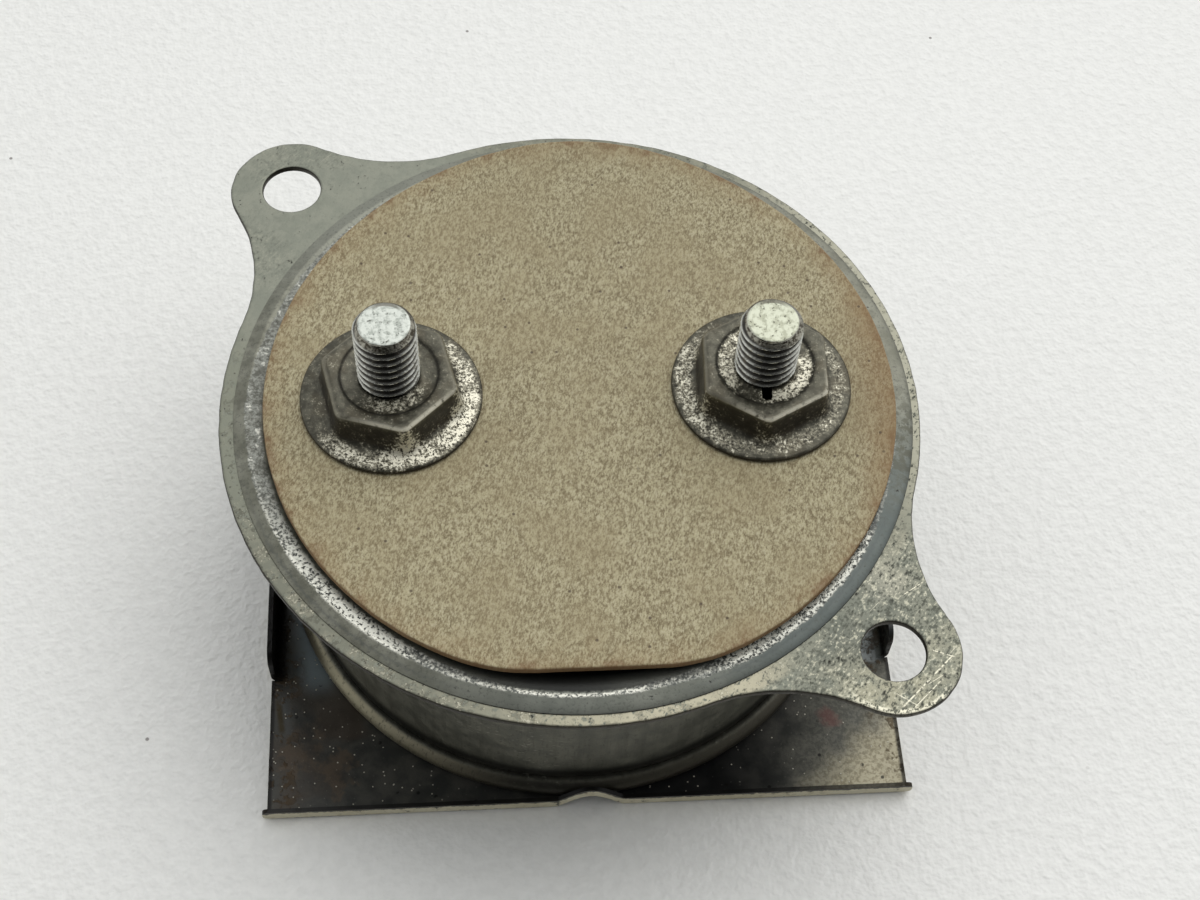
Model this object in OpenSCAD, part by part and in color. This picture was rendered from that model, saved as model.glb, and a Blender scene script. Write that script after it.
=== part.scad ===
// Thermal (bimetal) oil pressure gauge for a panel cluster, seen from behind.
// It lies face down: Z = 0 is the front of the dial plate, +Z points out of the back of the gauge.
// The axis of the round case is the Z axis. Millimetres.

/* [Case] */
// Outside radius of the round mounting flange
flange_r = 27.5; // [26.5:0.1:30]
// Thickness of the case sheet
case_t = 0.6; // [0.4:0.05:0.8]
// Outside radius of the can wall
can_r = 23; // [22.6:0.1:23.4]
// Height of the flange's back face above the dial plate's back face
case_h = 21.8; // [20:0.1:26]
// Inside radius of the bend between can wall and flange
root_r = 2.4; // [1.8:0.1:2.5]
// Outside radius of the rolled bead at the can's front
bead_r = 24.2; // [24:0.05:24.2]

/* [Mounting ears] */
// Distance from the case axis to each ear hole (half of a 63.5 mm circle)
ear_reach = 31.75; // [31:0.25:33]
// Radius of the ear's round end
ear_r = 5.1; // [4.5:0.1:6]
// Radius of the hole in each ear
ear_hole_r = 2.4; // [2:0.1:3]
// Radius of the hollow fillet between ear and flange
ear_fillet_r = 14.5; // [8:0.5:20]
// Direction of the first ear
ear_turn = 135; // [120:1:150]

/* [Back cover] */
// Outside radius of the cover's rim
cover_r = 26.6; // [26.4:0.1:27.2]
// Thickness of the cover sheet
cover_t = 0.4; // [0.35:0.05:0.6]
// Radius of the crest of the cover's low ridge
crest_r = 25.3; // [25.2:0.05:25.5]
// Height of the ridge's crest above the cover's rim
crest_rise = 0.1; // [0.05:0.05:0.3]
// Depth of the groove inside the cover's ridge, below the flange
groove_d = 0.9; // [0.4:0.1:1]
// Height of the cover's flat middle above the flange
plateau_h = 0.9; // [0.7:0.05:1.2]

/* [Insulating disc] */
// Radius of the fibre disc
disc_r = 24.6; // [23.5:0.1:25]
// Thickness of the fibre disc
disc_t = 0.7; // [0.4:0.1:1]
// Distance from the disc's centre to its straight front edge
disc_flat = 23.6; // [22:0.1:24.4]
// How far the loose disc has crept sideways on the studs
disc_shift = 0.3; // [0:0.05:0.35]

/* [Terminals] */
// Distance between the two terminal studs
stud_gap = 28.8; // [27:0.1:29.4]
// How far the studs' middle sits to the right of the case axis
stud_shift = 0.4; // [0:0.1:0.5]
// Radius of a terminal stud over its thread
stud_r = 2.4; // [2:0.1:2.6]
// Height of the left stud's end above the flange
stud_left_h = 11.3; // [9:0.1:14]
// Height of the right stud's end above the flange
stud_right_h = 10.4; // [9:0.1:14]
// Length of the chamfer on a stud's end
stud_chamfer = 0.55; // [0.3:0.05:0.8]
// Radius of the stud's plain shank, below its rolled thread
shank_r = 2.1; // [1.8:0.05:2.3]
// Radius of the stud's head inside the case
head_r = 4.4; // [3.8:0.1:5]
// Thickness of the stud's head
head_t = 1.4; // [1:0.1:2]
// Radius of the fibre bush's washer
bush_r = 4.9; // [4.6:0.1:5.2]
// Thickness of the fibre bush's washer
bush_t = 1; // [0.6:0.1:1.4]
// Wall of the fibre bush's barrel
bush_wall = 0.8; // [0.6:0.1:1]
// Thickness of the solder lugs
lug_t = 0.5; // [0.3:0.05:0.8]
// Reach of a solder lug's tail from its stud
lug_reach = 8.5; // [7:0.5:10]

/* [Pressed nuts] */
// Radius of a nut's washer skirt
skirt_r = 7.05; // [6.6:0.05:7.6]
// Thickness of a nut's sheet
nut_t = 0.55; // [0.4:0.05:0.7]
// Radius of the nut's hole, whose edge bites the thread
nut_hole_r = 2.15; // [2.12:0.01:2.3]
// Distance across the nut's flats
nut_af = 9.6; // [9:0.1:10.4]
// Whole height of a nut
nut_h = 3.4; // [3:0.1:4.5]
// Radius of the sunk ring in a nut's top
nut_ring_r = 3.85; // [3.4:0.05:4.1]
// Depth of the sunk ring in a nut's top
nut_ring_d = 0.25; // [0.1:0.05:0.4]
// Turn of the left nut
nut_left_turn = -77; // [-90:1:-60]
// Turn of the right nut
nut_right_turn = -92.5; // [-105:0.5:-75]
// Direction of the thread slot in the left nut
nut_left_slot = 100; // [60:1:120]
// Direction of the thread slot in the right nut
nut_right_slot = -92.5; // [-120:0.5:-60]
// Width of the thread slot
nut_slot_w = 0.8; // [0.5:0.1:1.2]

/* [Dial plate] */
// Width of the plate between its side lips
plate_w = 52.3; // [51:0.1:54]
// How far the plate's middle sits to the right of the case axis
plate_shift = 0.75; // [0:0.05:0.8]
// Depth of the plate from front lip to rear lip
plate_d = 49.3; // [49.3:0.1:52]
// Thickness of the plate sheet
plate_t = 0.4; // [0.3:0.05:0.5]
// Height of the front and rear lips
lip_h = 1.15; // [0.8:0.05:1.6]
// Thickness of the lips' rolled edge
lip_t = 0.35; // [0.3:0.05:0.4]
// How far the front and rear lips stand past the plate's sides
lip_over = 0.35; // [0:0.05:0.6]
// Width of the arch in the front lip
arch_w = 5.4; // [4:0.1:7]
// Rise of the arch in the front lip
arch_h = 1.9; // [1:0.1:2.4]
// Distance of the arch from the middle of the front lip
arch_x = 0; // [-2:0.1:2]
// Length of the side lips
side_lip_len = 25.2; // [14:0.2:30]
// Height of the side lips above the plate's back
side_lip_h = 4; // [2:0.1:5]
// Radius of the side lips' rounded corners
side_lip_round = 1.2; // [0.5:0.1:1.6]
// Depth of the round dial well
well_d = 2.2; // [1.9:0.1:2.6]
// Gap between the well and the can's mouth
well_fit = 0.1; // [0.05:0.01:0.15]

/* [Pointer] */
// Distance from the case axis to the pointer's arbor
pivot_y = 14; // [13:0.1:14.5]
// Whole swing of the pointer
swing = 60; // [50:1:64]
// Reach of the pointer from its arbor
pointer_len = 29; // [24:0.5:30]
// Thickness of the pointer blade
pointer_t = 0.25; // [0.2:0.05:0.4]
// Radius of the arbor
arbor_r = 0.6; // [0.5:0.05:0.8]
// Running clearance round the arbor
run_fit = 0.03; // [0.02:0.01:0.05]
// Radius of the pointer's hub
hub_r = 1.7; // [1.4:0.1:2.2]
// Radius of the stop pins
stop_r = 0.45; // [0.35:0.05:0.6]

/* [Drive] */
// Distance from the arbor to the crank pin
crank_reach = 2.5; // [2:0.1:3]
// Radius of the crank pin
pin_r = 0.4; // [0.3:0.05:0.5]
// Clearance of the crank pin in its slot
slot_fit = 0.15; // [0.12:0.01:0.25]

/* [Bimetal] */
// Distance from the case axis to the bend of the bimetal
bend_y = 15; // [13:0.1:15.5]
// Width of the bimetal strip
strip_w = 3.2; // [2.6:0.1:3.6]
// Thickness of the bimetal strip
strip_t = 0.4; // [0.3:0.05:0.5]
// Distance between the two bimetal legs
leg_gap = 6; // [5.5:0.1:7]
// Number of turns in the heater winding
turns = 14; // [8:1:18]
// Radius of the heater wire with its covering
wire_r = 0.25; // [0.2:0.01:0.28]
// Radius of the lead wires
lead_r = 0.4; // [0.3:0.05:0.5]

/* [Hidden] */
$fn = 96;
eps = 0.01;
// Clearance of a piece on a stud or a strip
snug = 0.05;
// How far a cut runs past the face that it opens
past = 1;

// Levels, from the dial upwards
floor_z = well_d + plate_t;
flange_z = plate_t + case_h;
plateau_z = flange_z + plateau_h;
disc_z = plateau_z;
nut_z = disc_z + disc_t;
bush_z = plateau_z - cover_t - bush_t;
lug_z = bush_z - lug_t;
head_z = lug_z - head_t;
// The stud's thread is drawn from where it leaves the nut
thread_z = nut_z + nut_h - nut_ring_d + 0.02;

// Case
can_in = can_r - case_t;
root_c = [can_in + root_r, flange_z - root_r];
bead_tube = (bead_r - can_in) / 2;
bead_c = [can_in + bead_tube, plate_t + bead_tube];
bead_end = 100;

// Cover: rim, low ridge, groove over the case's bend, ramp and flat middle
rim_z = flange_z + cover_t / 2;
crest_bend = 0.5;
crest_turn = acos(1 - crest_rise / crest_bend);
groove_z = flange_z - groove_d;
groove_w = 0.6;
dip_turn = 140;
ramp_w = 1.3;
plateau_r = stud_gap / 2 + stud_shift + bush_r + 0.2;

// Disc
disc_fit = 0.1;

// Plate
well_r = can_in - well_fit;
well_bend = plate_t;
well_rim = 0.6;
plate_x = plate_w / 2;
plate_y = plate_d / 2;
side_bend = 0.9;
side_cut = 1.5;
notch_y = 1.2;
lip_round = 0.4;

// Pointer and crank, seen at rest
pivot = [0, -pivot_y];
rest_turn = -swing / 2;
hub_gap = 0.2;
bush_flange_t = 0.8;
bush_flange_r = 2.2;
bush_barrel_r = 1.4;
bush_front = floor_z - plate_t - 0.3;
hub_top = bush_front - hub_gap;
hub_t = 1.2;
hub_step = 0.45;
hub_rim = 0.5;
blade_z = hub_top - hub_step;
blade_root = 1.1;
blade_tip = 0.35;
blade_tail = 4.5;
tail_flare = 0.5;
stop_out = 9;
stop_fit = 0.15;
stop_below = 0.5;
stop_head = 0.3;
crank_z = floor_z + bush_flange_t + hub_gap;
crank_hub_r = 1.4;
crank_hub_t = 2.2;
crank_t = 0.8;
crank_end_r = pin_r + 0.5;
crank_top = crank_z + crank_hub_t;
pin_rise = 2.2;

// Bridge over the arbor
bridge_t = 0.8;
bridge_half = 6.2;
bridge_bend = 1;
bridge_lean = 0.4;
bridge_w = 5;
bridge_foot = 4.2;
bridge_z = crank_top + pin_rise + 3;
rivet_r = 0.75;
rivet_head_r = 1.3;
rivet_head_t = 0.5;
rivet_taper = 0.6;
rivet_x = bridge_half + bridge_foot - rivet_head_r - 0.3;
arbor_top = bridge_z + bridge_t + 0.3;
arbor_foot = hub_top - hub_t - 0.1;

// Bimetal: the heated leg turns about the bend, and its slot takes the crank pin
tab_t = 0.4;
tab_z = crank_top + 0.8;
strip_z = tab_z + tab_t;
strip_mid = strip_z + strip_w / 2;
bend = [0, bend_y];
drop = bend_y + pivot_y;
pin_side = crank_reach * sin(swing / 2);
pin_drop = drop - crank_reach * cos(swing / 2);
pin_far = sqrt(pin_side * pin_side + pin_drop * pin_drop);
pin_near = drop - crank_reach;
flex_rest = atan(pin_side / pin_drop);
leg_start = 0.3;
leg_end = pin_near - pin_r - slot_fit - 1.1;
tab_start = leg_end - 2.2;
tab_half = 1.5;
tab_end = pin_far + pin_r + slot_fit + 0.9;

// Anchor of the compensating leg
anchor_y = -4;
anchor_len = 5;
anchor_t = 0.8;
anchor_x = -leg_gap - strip_t / 2;
anchor_foot = 3.6;
anchor_bend = 0.6;
anchor_rise = 0.4;
anchor_rivet_x = anchor_x - anchor_t - anchor_foot / 2;
leg_rivet_r = 0.6;
leg_rivet_y = 1.2;
leg_head_r = 1;
leg_head_t = 0.4;
leg_overlap = anchor_len / 2 - 0.3;

// Sleeve and winding: each turn is a rounded rectangle that clears the sleeve
sleeve_wall = 0.3;
sleeve_gap = 0.02;
sleeve_start = 2.6;
sleeve_end = leg_end - 2.6;
wind_fit = 0.15;
wind_a = strip_t / 2 + sleeve_gap + sleeve_wall + wind_fit + wire_r;
wind_b = strip_w / 2 + sleeve_gap + sleeve_wall + wind_fit + wire_r;
wind_start = sleeve_start + 0.9;
wind_end = sleeve_end - 0.9;
wind_pitch = (wind_end - wind_start) / turns;
rings = 24;
tail_end = 1.6;
tail_x = 0.9;
tail_rise = 1;
run_z = strip_mid + wind_b + tail_rise;

// Points of an arc in the plane, from angle a to angle b
function arc(c, r, a, b, n) = [for (i = [0:n]) c + r * [cos(a + (b - a) * i / n), sin(a + (b - a) * i / n)]];
function unit(v) = v / norm(v);
function left(v) = [-v[1], v[0]];

// Sideways step at point i of a path, which keeps a bent sheet at one thickness
function miter(path, i) =
    let (last = len(path) - 1,
         a = unit(path[min(i + 1, last)] - path[min(i, last - 1)]),
         b = unit(path[max(i, 1)] - path[max(i - 1, 0)]),
         n = unit(left(a) + left(b)))
    n / (n * left(a));

// A sheet's section: its middle line, thickened by half of t on either side
module sheet(path, t) {
    last = len(path) - 1;
    polygon(concat(
        [for (i = [0:last]) path[i] + miter(path, i) * t / 2],
        [for (i = [last:-1:0]) path[i] - miter(path, i) * t / 2]));
}

// Frame of a tube's ring at point i: the way along it, and two ways across it
function along(path, i) = unit(path[min(i + 1, len(path) - 1)] - path[max(i - 1, 0)]);
function across(path, i, up) = unit(cross(along(path, i), up));

// Round tube along a path of points; up is never along the path
module tube(path, r, sides, up) {
    n = len(path);
    points = [for (i = [0:n - 1], k = [0:sides - 1])
        let (w = along(path, i), u = across(path, i, up), v = cross(w, u), a = 360 * k / sides)
        path[i] + r * (cos(a) * u + sin(a) * v)];
    skin = [for (i = [0:n - 2], k = [0:sides - 1])
        let (a = i * sides + k, b = i * sides + (k + 1) % sides)
        each [[a, b + sides, b], [a, a + sides, b + sides]]];
    ends = [[for (k = [0:sides - 1]) k], [for (k = [sides - 1:-1:0]) (n - 1) * sides + k]];
    polyhedron(points, concat(skin, ends));
}

// A rivet along +Z with a head at both ends of its grip
module rivet(r, grip, cap_r, cap_t) {
    cylinder(r = r, h = grip);
    for (end = [0, 1])
        translate([0, 0, end * grip]) mirror([0, 0, 1 - end])
            cylinder(r1 = cap_r, r2 = cap_r * rivet_taper, h = cap_t);
}

// A hole or a cut along Z, from low to high, that runs past both
module hole(r, low, high) {
    translate([0, 0, low - past]) cylinder(r = r, h = high - low + 2 * past);
}

// Both mounting ears
module at_ears() {
    for (turn = [ear_turn, ear_turn + 180]) rotate(turn) children();
}

// One ear's outline, towards +X, with its two hollow fillets
module ear_outline() {
    reach = flange_r + ear_fillet_r;
    away = ear_r + ear_fillet_r;
    turn = acos((ear_reach * ear_reach + reach * reach - away * away) / (2 * ear_reach * reach));
    centre = reach * [cos(turn), sin(turn)];
    foot = flange_r * [cos(turn), sin(turn)];
    tip = [ear_reach, 0] + ear_r * unit(centre - [ear_reach, 0]);
    translate([ear_reach, 0]) circle(r = ear_r);
    difference() {
        polygon([[0, 0], [foot[0], -foot[1]], [tip[0], -tip[1]], [ear_reach, 0], tip, foot]);
        for (side = [-1, 1]) translate([centre[0], side * centre[1]]) circle(r = ear_fillet_r);
    }
}

module case() {
    wall = concat(
        [[crest_r, flange_z - case_t / 2]],
        arc(root_c, root_r - case_t / 2, 90, 180, 8),
        arc(bead_c, bead_tube - case_t / 2, 180, 360 + bead_end, 18));
    color("#8f948f") {
        rotate_extrude() sheet(wall, case_t);
        translate([0, 0, flange_z - case_t]) linear_extrude(case_t) difference() {
            union() {
                circle(r = flange_r);
                at_ears() ear_outline();
            }
            circle(r = root_c[0]);
            at_ears() translate([ear_reach, 0]) circle(r = ear_hole_r);
        }
    }
}

module back_cover() {
    flat = plateau_z - cover_t / 2;
    path = concat(
        [[cover_r, rim_z]],
        arc([crest_r, rim_z + crest_rise - crest_bend], crest_bend, 90 - crest_turn, 90 + crest_turn, 8),
        arc(root_c, root_r + cover_t / 2 + 0.02, 92, dip_turn, 8),
        [[can_in - groove_w / 2, groove_z + 0.05], [can_in - groove_w, groove_z],
         [plateau_r + ramp_w, groove_z], [plateau_r + ramp_w / 2, flat - 0.35],
         [plateau_r, flat], [eps, flat]]);
    color("#9a9f9b") difference() {
        union() {
            rotate_extrude() sheet(path, cover_t);
            translate([0, 0, plateau_z - cover_t]) cylinder(r = 1, h = cover_t);
        }
        at_studs() hole(barrel_r + snug, plateau_z - cover_t, plateau_z);
    }
}

barrel_r = stud_r + snug + bush_wall;
function side_x(side) = stud_shift + side * stud_gap / 2;

// Both stud axes
module at_studs() {
    for (side = [-1, 1]) translate([side_x(side), 0, 0]) children();
}

module insulating_disc() {
    color("#a89878") translate([0, 0, disc_z]) linear_extrude(disc_t) difference() {
        translate([stud_shift + disc_shift, 0]) intersection() {
            circle(r = disc_r);
            translate([-disc_r, -disc_flat]) square([2 * disc_r, disc_flat + disc_r]);
        }
        at_studs() circle(r = stud_r + disc_shift + disc_fit);
    }
}

// Stud: head inside the case, plain shank, and a thread that is a cylinder here
module stud(side, top) {
    end_z = flange_z + top;
    bevel = 0.3;
    color("#c9ccd0") translate([side_x(side), 0, 0]) rotate_extrude() polygon([
        [0, head_z], [head_r - bevel, head_z], [head_r, head_z + bevel], [head_r, lug_z], [shank_r, lug_z],
        [shank_r, thread_z], [stud_r, thread_z], [stud_r, end_z - stud_chamfer],
        [stud_r - stud_chamfer, end_z], [0, end_z]]);
}

// Rounded hexagon solid, drawn in at its top edge as pressed sheet is
module pressed_hex(across_flats, h, edge) {
    corner = 0.9;
    reach = across_flats / 2 / cos(30) - corner / cos(30) + corner;
    levels = [[0, 0], [h - edge, 0], [h - 0.3 * edge, 0.3 * edge], [h, edge]];
    hull() for (level = levels, k = [0:5])
        rotate(60 * k) translate([reach - corner - level[1], 0, level[0] - eps])
            cylinder(r = corner, h = eps, $fn = 24);
}

// Pressed sheet nut with a washer skirt: a hollow hexagon with a sunk ring and one thread slot
module nut(side, turn, slot_turn) {
    hex_r = nut_af / 2 / cos(30);
    foot = nut_t + 0.5;
    top = nut_h - nut_ring_d;
    color("#55534d") translate([side_x(side), 0, nut_z]) rotate(turn) difference() {
        union() {
            translate([0, 0, eps]) pressed_hex(nut_af, nut_h - eps, 0.6);
            rotate_extrude() polygon([[hex_r - 1, 0], [skirt_r - 0.1, 0], [skirt_r, 0.15],
                [skirt_r - 0.05, nut_t], [hex_r + 0.3, nut_t + 0.05], [hex_r - 0.4, foot],
                [hex_r - 1, foot]]);
        }
        translate([0, 0, -past]) pressed_hex(nut_af - 2 * nut_t, top - nut_t + past, 0.4);
        translate([0, 0, top]) cylinder(r = nut_ring_r, h = past);
        hole(nut_hole_r, 0, nut_h);
        rotate(slot_turn - turn) translate([0, -nut_slot_w / 2, top - 2 * nut_t])
            cube([nut_ring_r - 0.5, nut_slot_w, 3 * nut_t]);
    }
}

module bush(side) {
    color("#6b4a34") translate([side_x(side), 0, bush_z]) difference() {
        union() {
            cylinder(r = bush_r, h = bush_t);
            cylinder(r = barrel_r, h = bush_t + cover_t);
        }
        hole(stud_r + snug, 0, bush_t + cover_t);
    }
}

// Solder lug: a ring under the stud's head and a tail that points to the rear of the plate
module lug(side) {
    ring = head_r - 0.2;
    tail = 1.5;
    eye = 0.6;
    color("#c09a4a") translate([side_x(side), 0, lug_z]) linear_extrude(lug_t) difference() {
        union() {
            circle(r = ring);
            translate([-tail, 0]) square([2 * tail, lug_reach - tail]);
            translate([0, lug_reach - tail]) circle(r = tail);
        }
        circle(r = stud_r + snug);
        translate([0, lug_reach - tail]) circle(r = eye);
    }
}

// Smooth step from 0 to 1
function ease(t) = (1 - cos(180 * t)) / 2;

// Lead wire: from below the lug's tail, down beside the can wall and in to the winding's tail
function lead_path(side) =
    let (from = [side_x(side), lug_reach - 3, lug_z - lead_r],
         turn_at = [side * 9.5, 15.5, 16],
         to = [side * (tail_x + 0.5), bend_y - tail_end + 0.8 + lead_r, run_z])
    concat(
        [for (i = [0:8]) let (t = i / 8)
            [from[0] + (turn_at[0] - from[0]) * ease(t), from[1] + (turn_at[1] - from[1]) * t,
             from[2] + (turn_at[2] - from[2]) * ease(t)]],
        [for (i = [1:10]) let (t = i / 10)
            [turn_at[0] + (to[0] - turn_at[0]) * t, turn_at[1] + (to[1] - turn_at[1]) * ease(t),
             turn_at[2] + (to[2] - turn_at[2]) * ease(t)]]);

module lead(side) {
    color(side < 0 ? "#7a2a22" : "#2b2b2b") tube(lead_path(side), lead_r, 8, [0.1, 0.2, 1]);
}

// Rise of the front lip at x, a single smooth wave
function arch_rise(x) =
    let (t = (x - arch_x) / arch_w)
    abs(t) < 1 / 2 ? arch_h * (1 + cos(360 * t)) / 2 : 0;

// Front or rear lip, standing in the XZ plane, with or without its arch
module lip(with_arch) {
    half = plate_x + lip_over;
    inner = half - lip_round;
    steps = 20;
    xs = [for (i = [0:steps]) arch_x + arch_w * (i / steps - 1 / 2)];
    low = with_arch ? [for (x = xs) [x, arch_rise(x)]] : [];
    high = with_arch ? [for (i = [steps:-1:0]) [xs[i], arch_rise(xs[i]) + lip_h]] : [];
    rotate([90, 0, 0]) linear_extrude(lip_t) polygon(concat(
        [[-inner, 0]], low, [[inner, 0]],
        arc([inner, lip_round], lip_round, -60, 0, 3), arc([inner, lip_h - lip_round], lip_round, 0, 90, 4),
        high,
        arc([-inner, lip_h - lip_round], lip_round, 90, 180, 4),
        arc([-inner, lip_round], lip_round, 180, 240, 3)));
}

// Side lip: bent up from the plate, with rounded upper corners
module side_lip() {
    edge = plate_x - plate_t / 2;
    half = side_lip_len / 2;
    top = plate_t + side_lip_h;
    profile = concat(
        [[plate_x - 2 * side_cut, plate_t / 2]],
        arc([edge - side_bend, plate_t / 2 + side_bend], side_bend, 270, 360, 6),
        [[edge, top]]);
    outline = concat(
        [[-half, -past], [half, -past]],
        arc([half - side_lip_round, top - side_lip_round], side_lip_round, 0, 90, 6),
        arc([side_lip_round - half, top - side_lip_round], side_lip_round, 90, 180, 6));
    intersection() {
        translate([0, half, 0]) rotate([90, 0, 0]) linear_extrude(side_lip_len) sheet(profile, plate_t);
        rotate([90, 0, 90]) linear_extrude(plate_x + past) polygon(outline);
    }
}

// Flat border of the plate, with the well's opening, the side lips' cuts and the notch under the arch
module border() {
    linear_extrude(plate_t) difference() {
        translate([plate_shift, 0]) square([plate_w, plate_d - lip_t], center = true);
        circle(r = well_r + well_bend);
        for (side = [-1, 1]) translate([plate_shift + side * plate_x - side_cut, -side_lip_len / 2])
            square([2 * side_cut, side_lip_len]);
        translate([plate_shift + arch_x, -plate_y]) scale([1, 2 * notch_y / arch_w])
            circle(r = arch_w / 2, $fn = 48);
    }
}

module dial_plate() {
    well = concat(
        [[can_r + well_rim, plate_t / 2]],
        arc([well_r + plate_t / 2, plate_t / 2 + well_bend], well_bend, 270, 180, 6),
        arc([well_r - plate_t / 2 - well_bend, floor_z - plate_t / 2 - well_bend], well_bend, 0, 90, 6),
        [[eps, floor_z - plate_t / 2]]);
    color("#2e2d2b") difference() {
        union() {
            rotate_extrude() sheet(well, plate_t);
            translate([0, 0, floor_z - plate_t]) cylinder(r = 3, h = plate_t);
            border();
            translate([plate_shift, 0, 0]) {
                for (turn = [0, 180]) rotate(turn) side_lip();
                translate([0, lip_t - plate_y, 0]) lip(true);
                translate([0, plate_y, 0]) lip(false);
            }
        }
        translate(pivot) hole(bush_barrel_r, 0, floor_z);
        at_rivets() hole(rivet_r, 0, floor_z);
        translate([anchor_rivet_x, anchor_y]) hole(rivet_r, 0, floor_z);
        at_stops() hole(stop_r, 0, floor_z);
    }
}

// Both rivets in the bridge's feet
module at_rivets() {
    for (side = [-1, 1]) translate([side * rivet_x, pivot[1]]) children();
}

// Both ends of the pointer's swing, just past the blade's edge
module at_stops() {
    aside = blade_root / 2 + stop_r + stop_fit;
    for (side = [-1, 1]) translate(pivot) rotate(side * swing / 2) translate([-side * aside, stop_out])
        children();
}

module stop_pins() {
    low = blade_z - stop_below;
    color("#b8954f") at_stops() {
        translate([0, 0, low]) cylinder(r = stop_r, h = floor_z - low);
        translate([0, 0, floor_z]) cylinder(r = stop_r + stop_head, h = stop_head);
    }
}

module arbor_bush() {
    color("#c7a252") translate(pivot) difference() {
        union() {
            translate([0, 0, bush_front]) cylinder(r = bush_barrel_r, h = floor_z - bush_front);
            translate([0, 0, floor_z]) cylinder(r = bush_flange_r, h = bush_flange_t);
        }
        hole(arbor_r + run_fit, bush_front, floor_z + bush_flange_t);
    }
}

module bridge() {
    rise = bridge_z + bridge_t / 2;
    foot_z = floor_z + bridge_t / 2;
    top_x = bridge_half - bridge_lean;
    half = [[bridge_half + bridge_foot, foot_z], [bridge_half + bridge_bend, foot_z],
        [bridge_half, foot_z + bridge_bend], [top_x, rise - bridge_bend], [top_x - bridge_bend, rise]];
    path = concat(half, [for (i = [len(half) - 1:-1:0]) [-half[i][0], half[i][1]]]);
    color("#b9b6ad") difference() {
        translate([0, pivot[1] + bridge_w / 2, 0]) rotate([90, 0, 0]) linear_extrude(bridge_w)
            sheet(path, bridge_t);
        translate(pivot) hole(arbor_r + run_fit, bridge_z, bridge_z + bridge_t);
        at_rivets() hole(rivet_r, floor_z, floor_z + bridge_t);
    }
}

module bridge_rivets() {
    color("#c7a252") at_rivets() translate([0, 0, floor_z - plate_t])
        rivet(rivet_r, plate_t + bridge_t, rivet_head_r, rivet_head_t);
}

module anchor_post() {
    x = anchor_x - anchor_t / 2;
    foot_z = floor_z + anchor_t / 2;
    path = [[x - anchor_foot, foot_z], [x - anchor_bend, foot_z], [x, foot_z + anchor_bend],
        [x, strip_z + strip_w + anchor_rise]];
    color("#b9b6ad") difference() {
        translate([0, anchor_y + anchor_len / 2, 0]) rotate([90, 0, 0]) linear_extrude(anchor_len)
            sheet(path, anchor_t);
        at_leg_rivets() hole(leg_rivet_r, 0, anchor_t);
        translate([anchor_rivet_x, anchor_y]) hole(rivet_r, floor_z, floor_z + anchor_t);
    }
}

// The two rivets that hold the compensating leg, along +X
module at_leg_rivets() {
    for (side = [-1, 1]) translate([anchor_x - anchor_t, anchor_y + side * leg_rivet_y, strip_mid])
        rotate([0, 90, 0]) children();
}

module anchor_rivets() {
    color("#c7a252") {
        at_leg_rivets() rivet(leg_rivet_r, anchor_t + strip_t, leg_head_r, leg_head_t);
        translate([anchor_rivet_x, anchor_y, floor_z - plate_t])
            rivet(rivet_r, plate_t + anchor_t, rivet_head_r, rivet_head_t);
    }
}

// Fixed leg and bend of the U-shaped bimetal strip
module compensating_leg() {
    half = leg_gap / 2;
    path = concat([[-leg_gap, anchor_y - leg_overlap]], arc([-half, bend_y], half, 180, 0, 16));
    color("#a8743e") difference() {
        translate([0, 0, strip_z]) linear_extrude(strip_w) sheet(path, strip_t);
        at_leg_rivets() hole(leg_rivet_r, anchor_t, anchor_t + strip_t);
    }
}

// The heated leg's own frame: X = 0, and its length runs along -Y from the bend
module leg_frame() {
    translate([bend[0], bend[1], 0]) rotate(flex_rest) children();
}

module heated_leg() {
    color("#a8743e") leg_frame() translate([-strip_t / 2, -leg_end, strip_z])
        cube([strip_t, leg_end - leg_start, strip_w]);
}

// Slotted tab at the heated leg's end, which takes the crank pin
module drive_tab() {
    slot = pin_r + slot_fit;
    color("#c9ccd0") leg_frame() translate([0, 0, tab_z]) linear_extrude(tab_t) difference() {
        union() {
            translate([-tab_half, tab_half - tab_end])
                square([2 * tab_half, tab_end - tab_half - tab_start]);
            translate([0, -tab_end + tab_half]) circle(r = tab_half);
        }
        for (at = [pin_near, pin_far]) translate([0, -at]) circle(r = slot);
        translate([-slot, -pin_far]) square([2 * slot, pin_far - pin_near]);
    }
}

// Insulating sleeve between the heated leg and its winding, wrapped round the strip's corners
module winding_sleeve() {
    x = strip_t / 2 + sleeve_gap;
    z = strip_w / 2 + sleeve_gap;
    color("#d8cfb8") leg_frame() translate([0, -sleeve_start, strip_mid]) rotate([90, 0, 0])
        linear_extrude(sleeve_end - sleeve_start) difference() {
            union() {
                square([2 * (x + sleeve_wall), 2 * z], center = true);
                square([2 * x, 2 * (z + sleeve_wall)], center = true);
                for (i = [-1, 1], k = [-1, 1]) translate([i * x, k * z]) circle(r = sleeve_wall);
            }
            square([2 * x, 2 * z], center = true);
        }
}

// Square root that keeps its sign: it makes a rounded rectangle of a circle's sine and cosine
function squared(v) = sign(v) * sqrt(abs(v));

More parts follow.
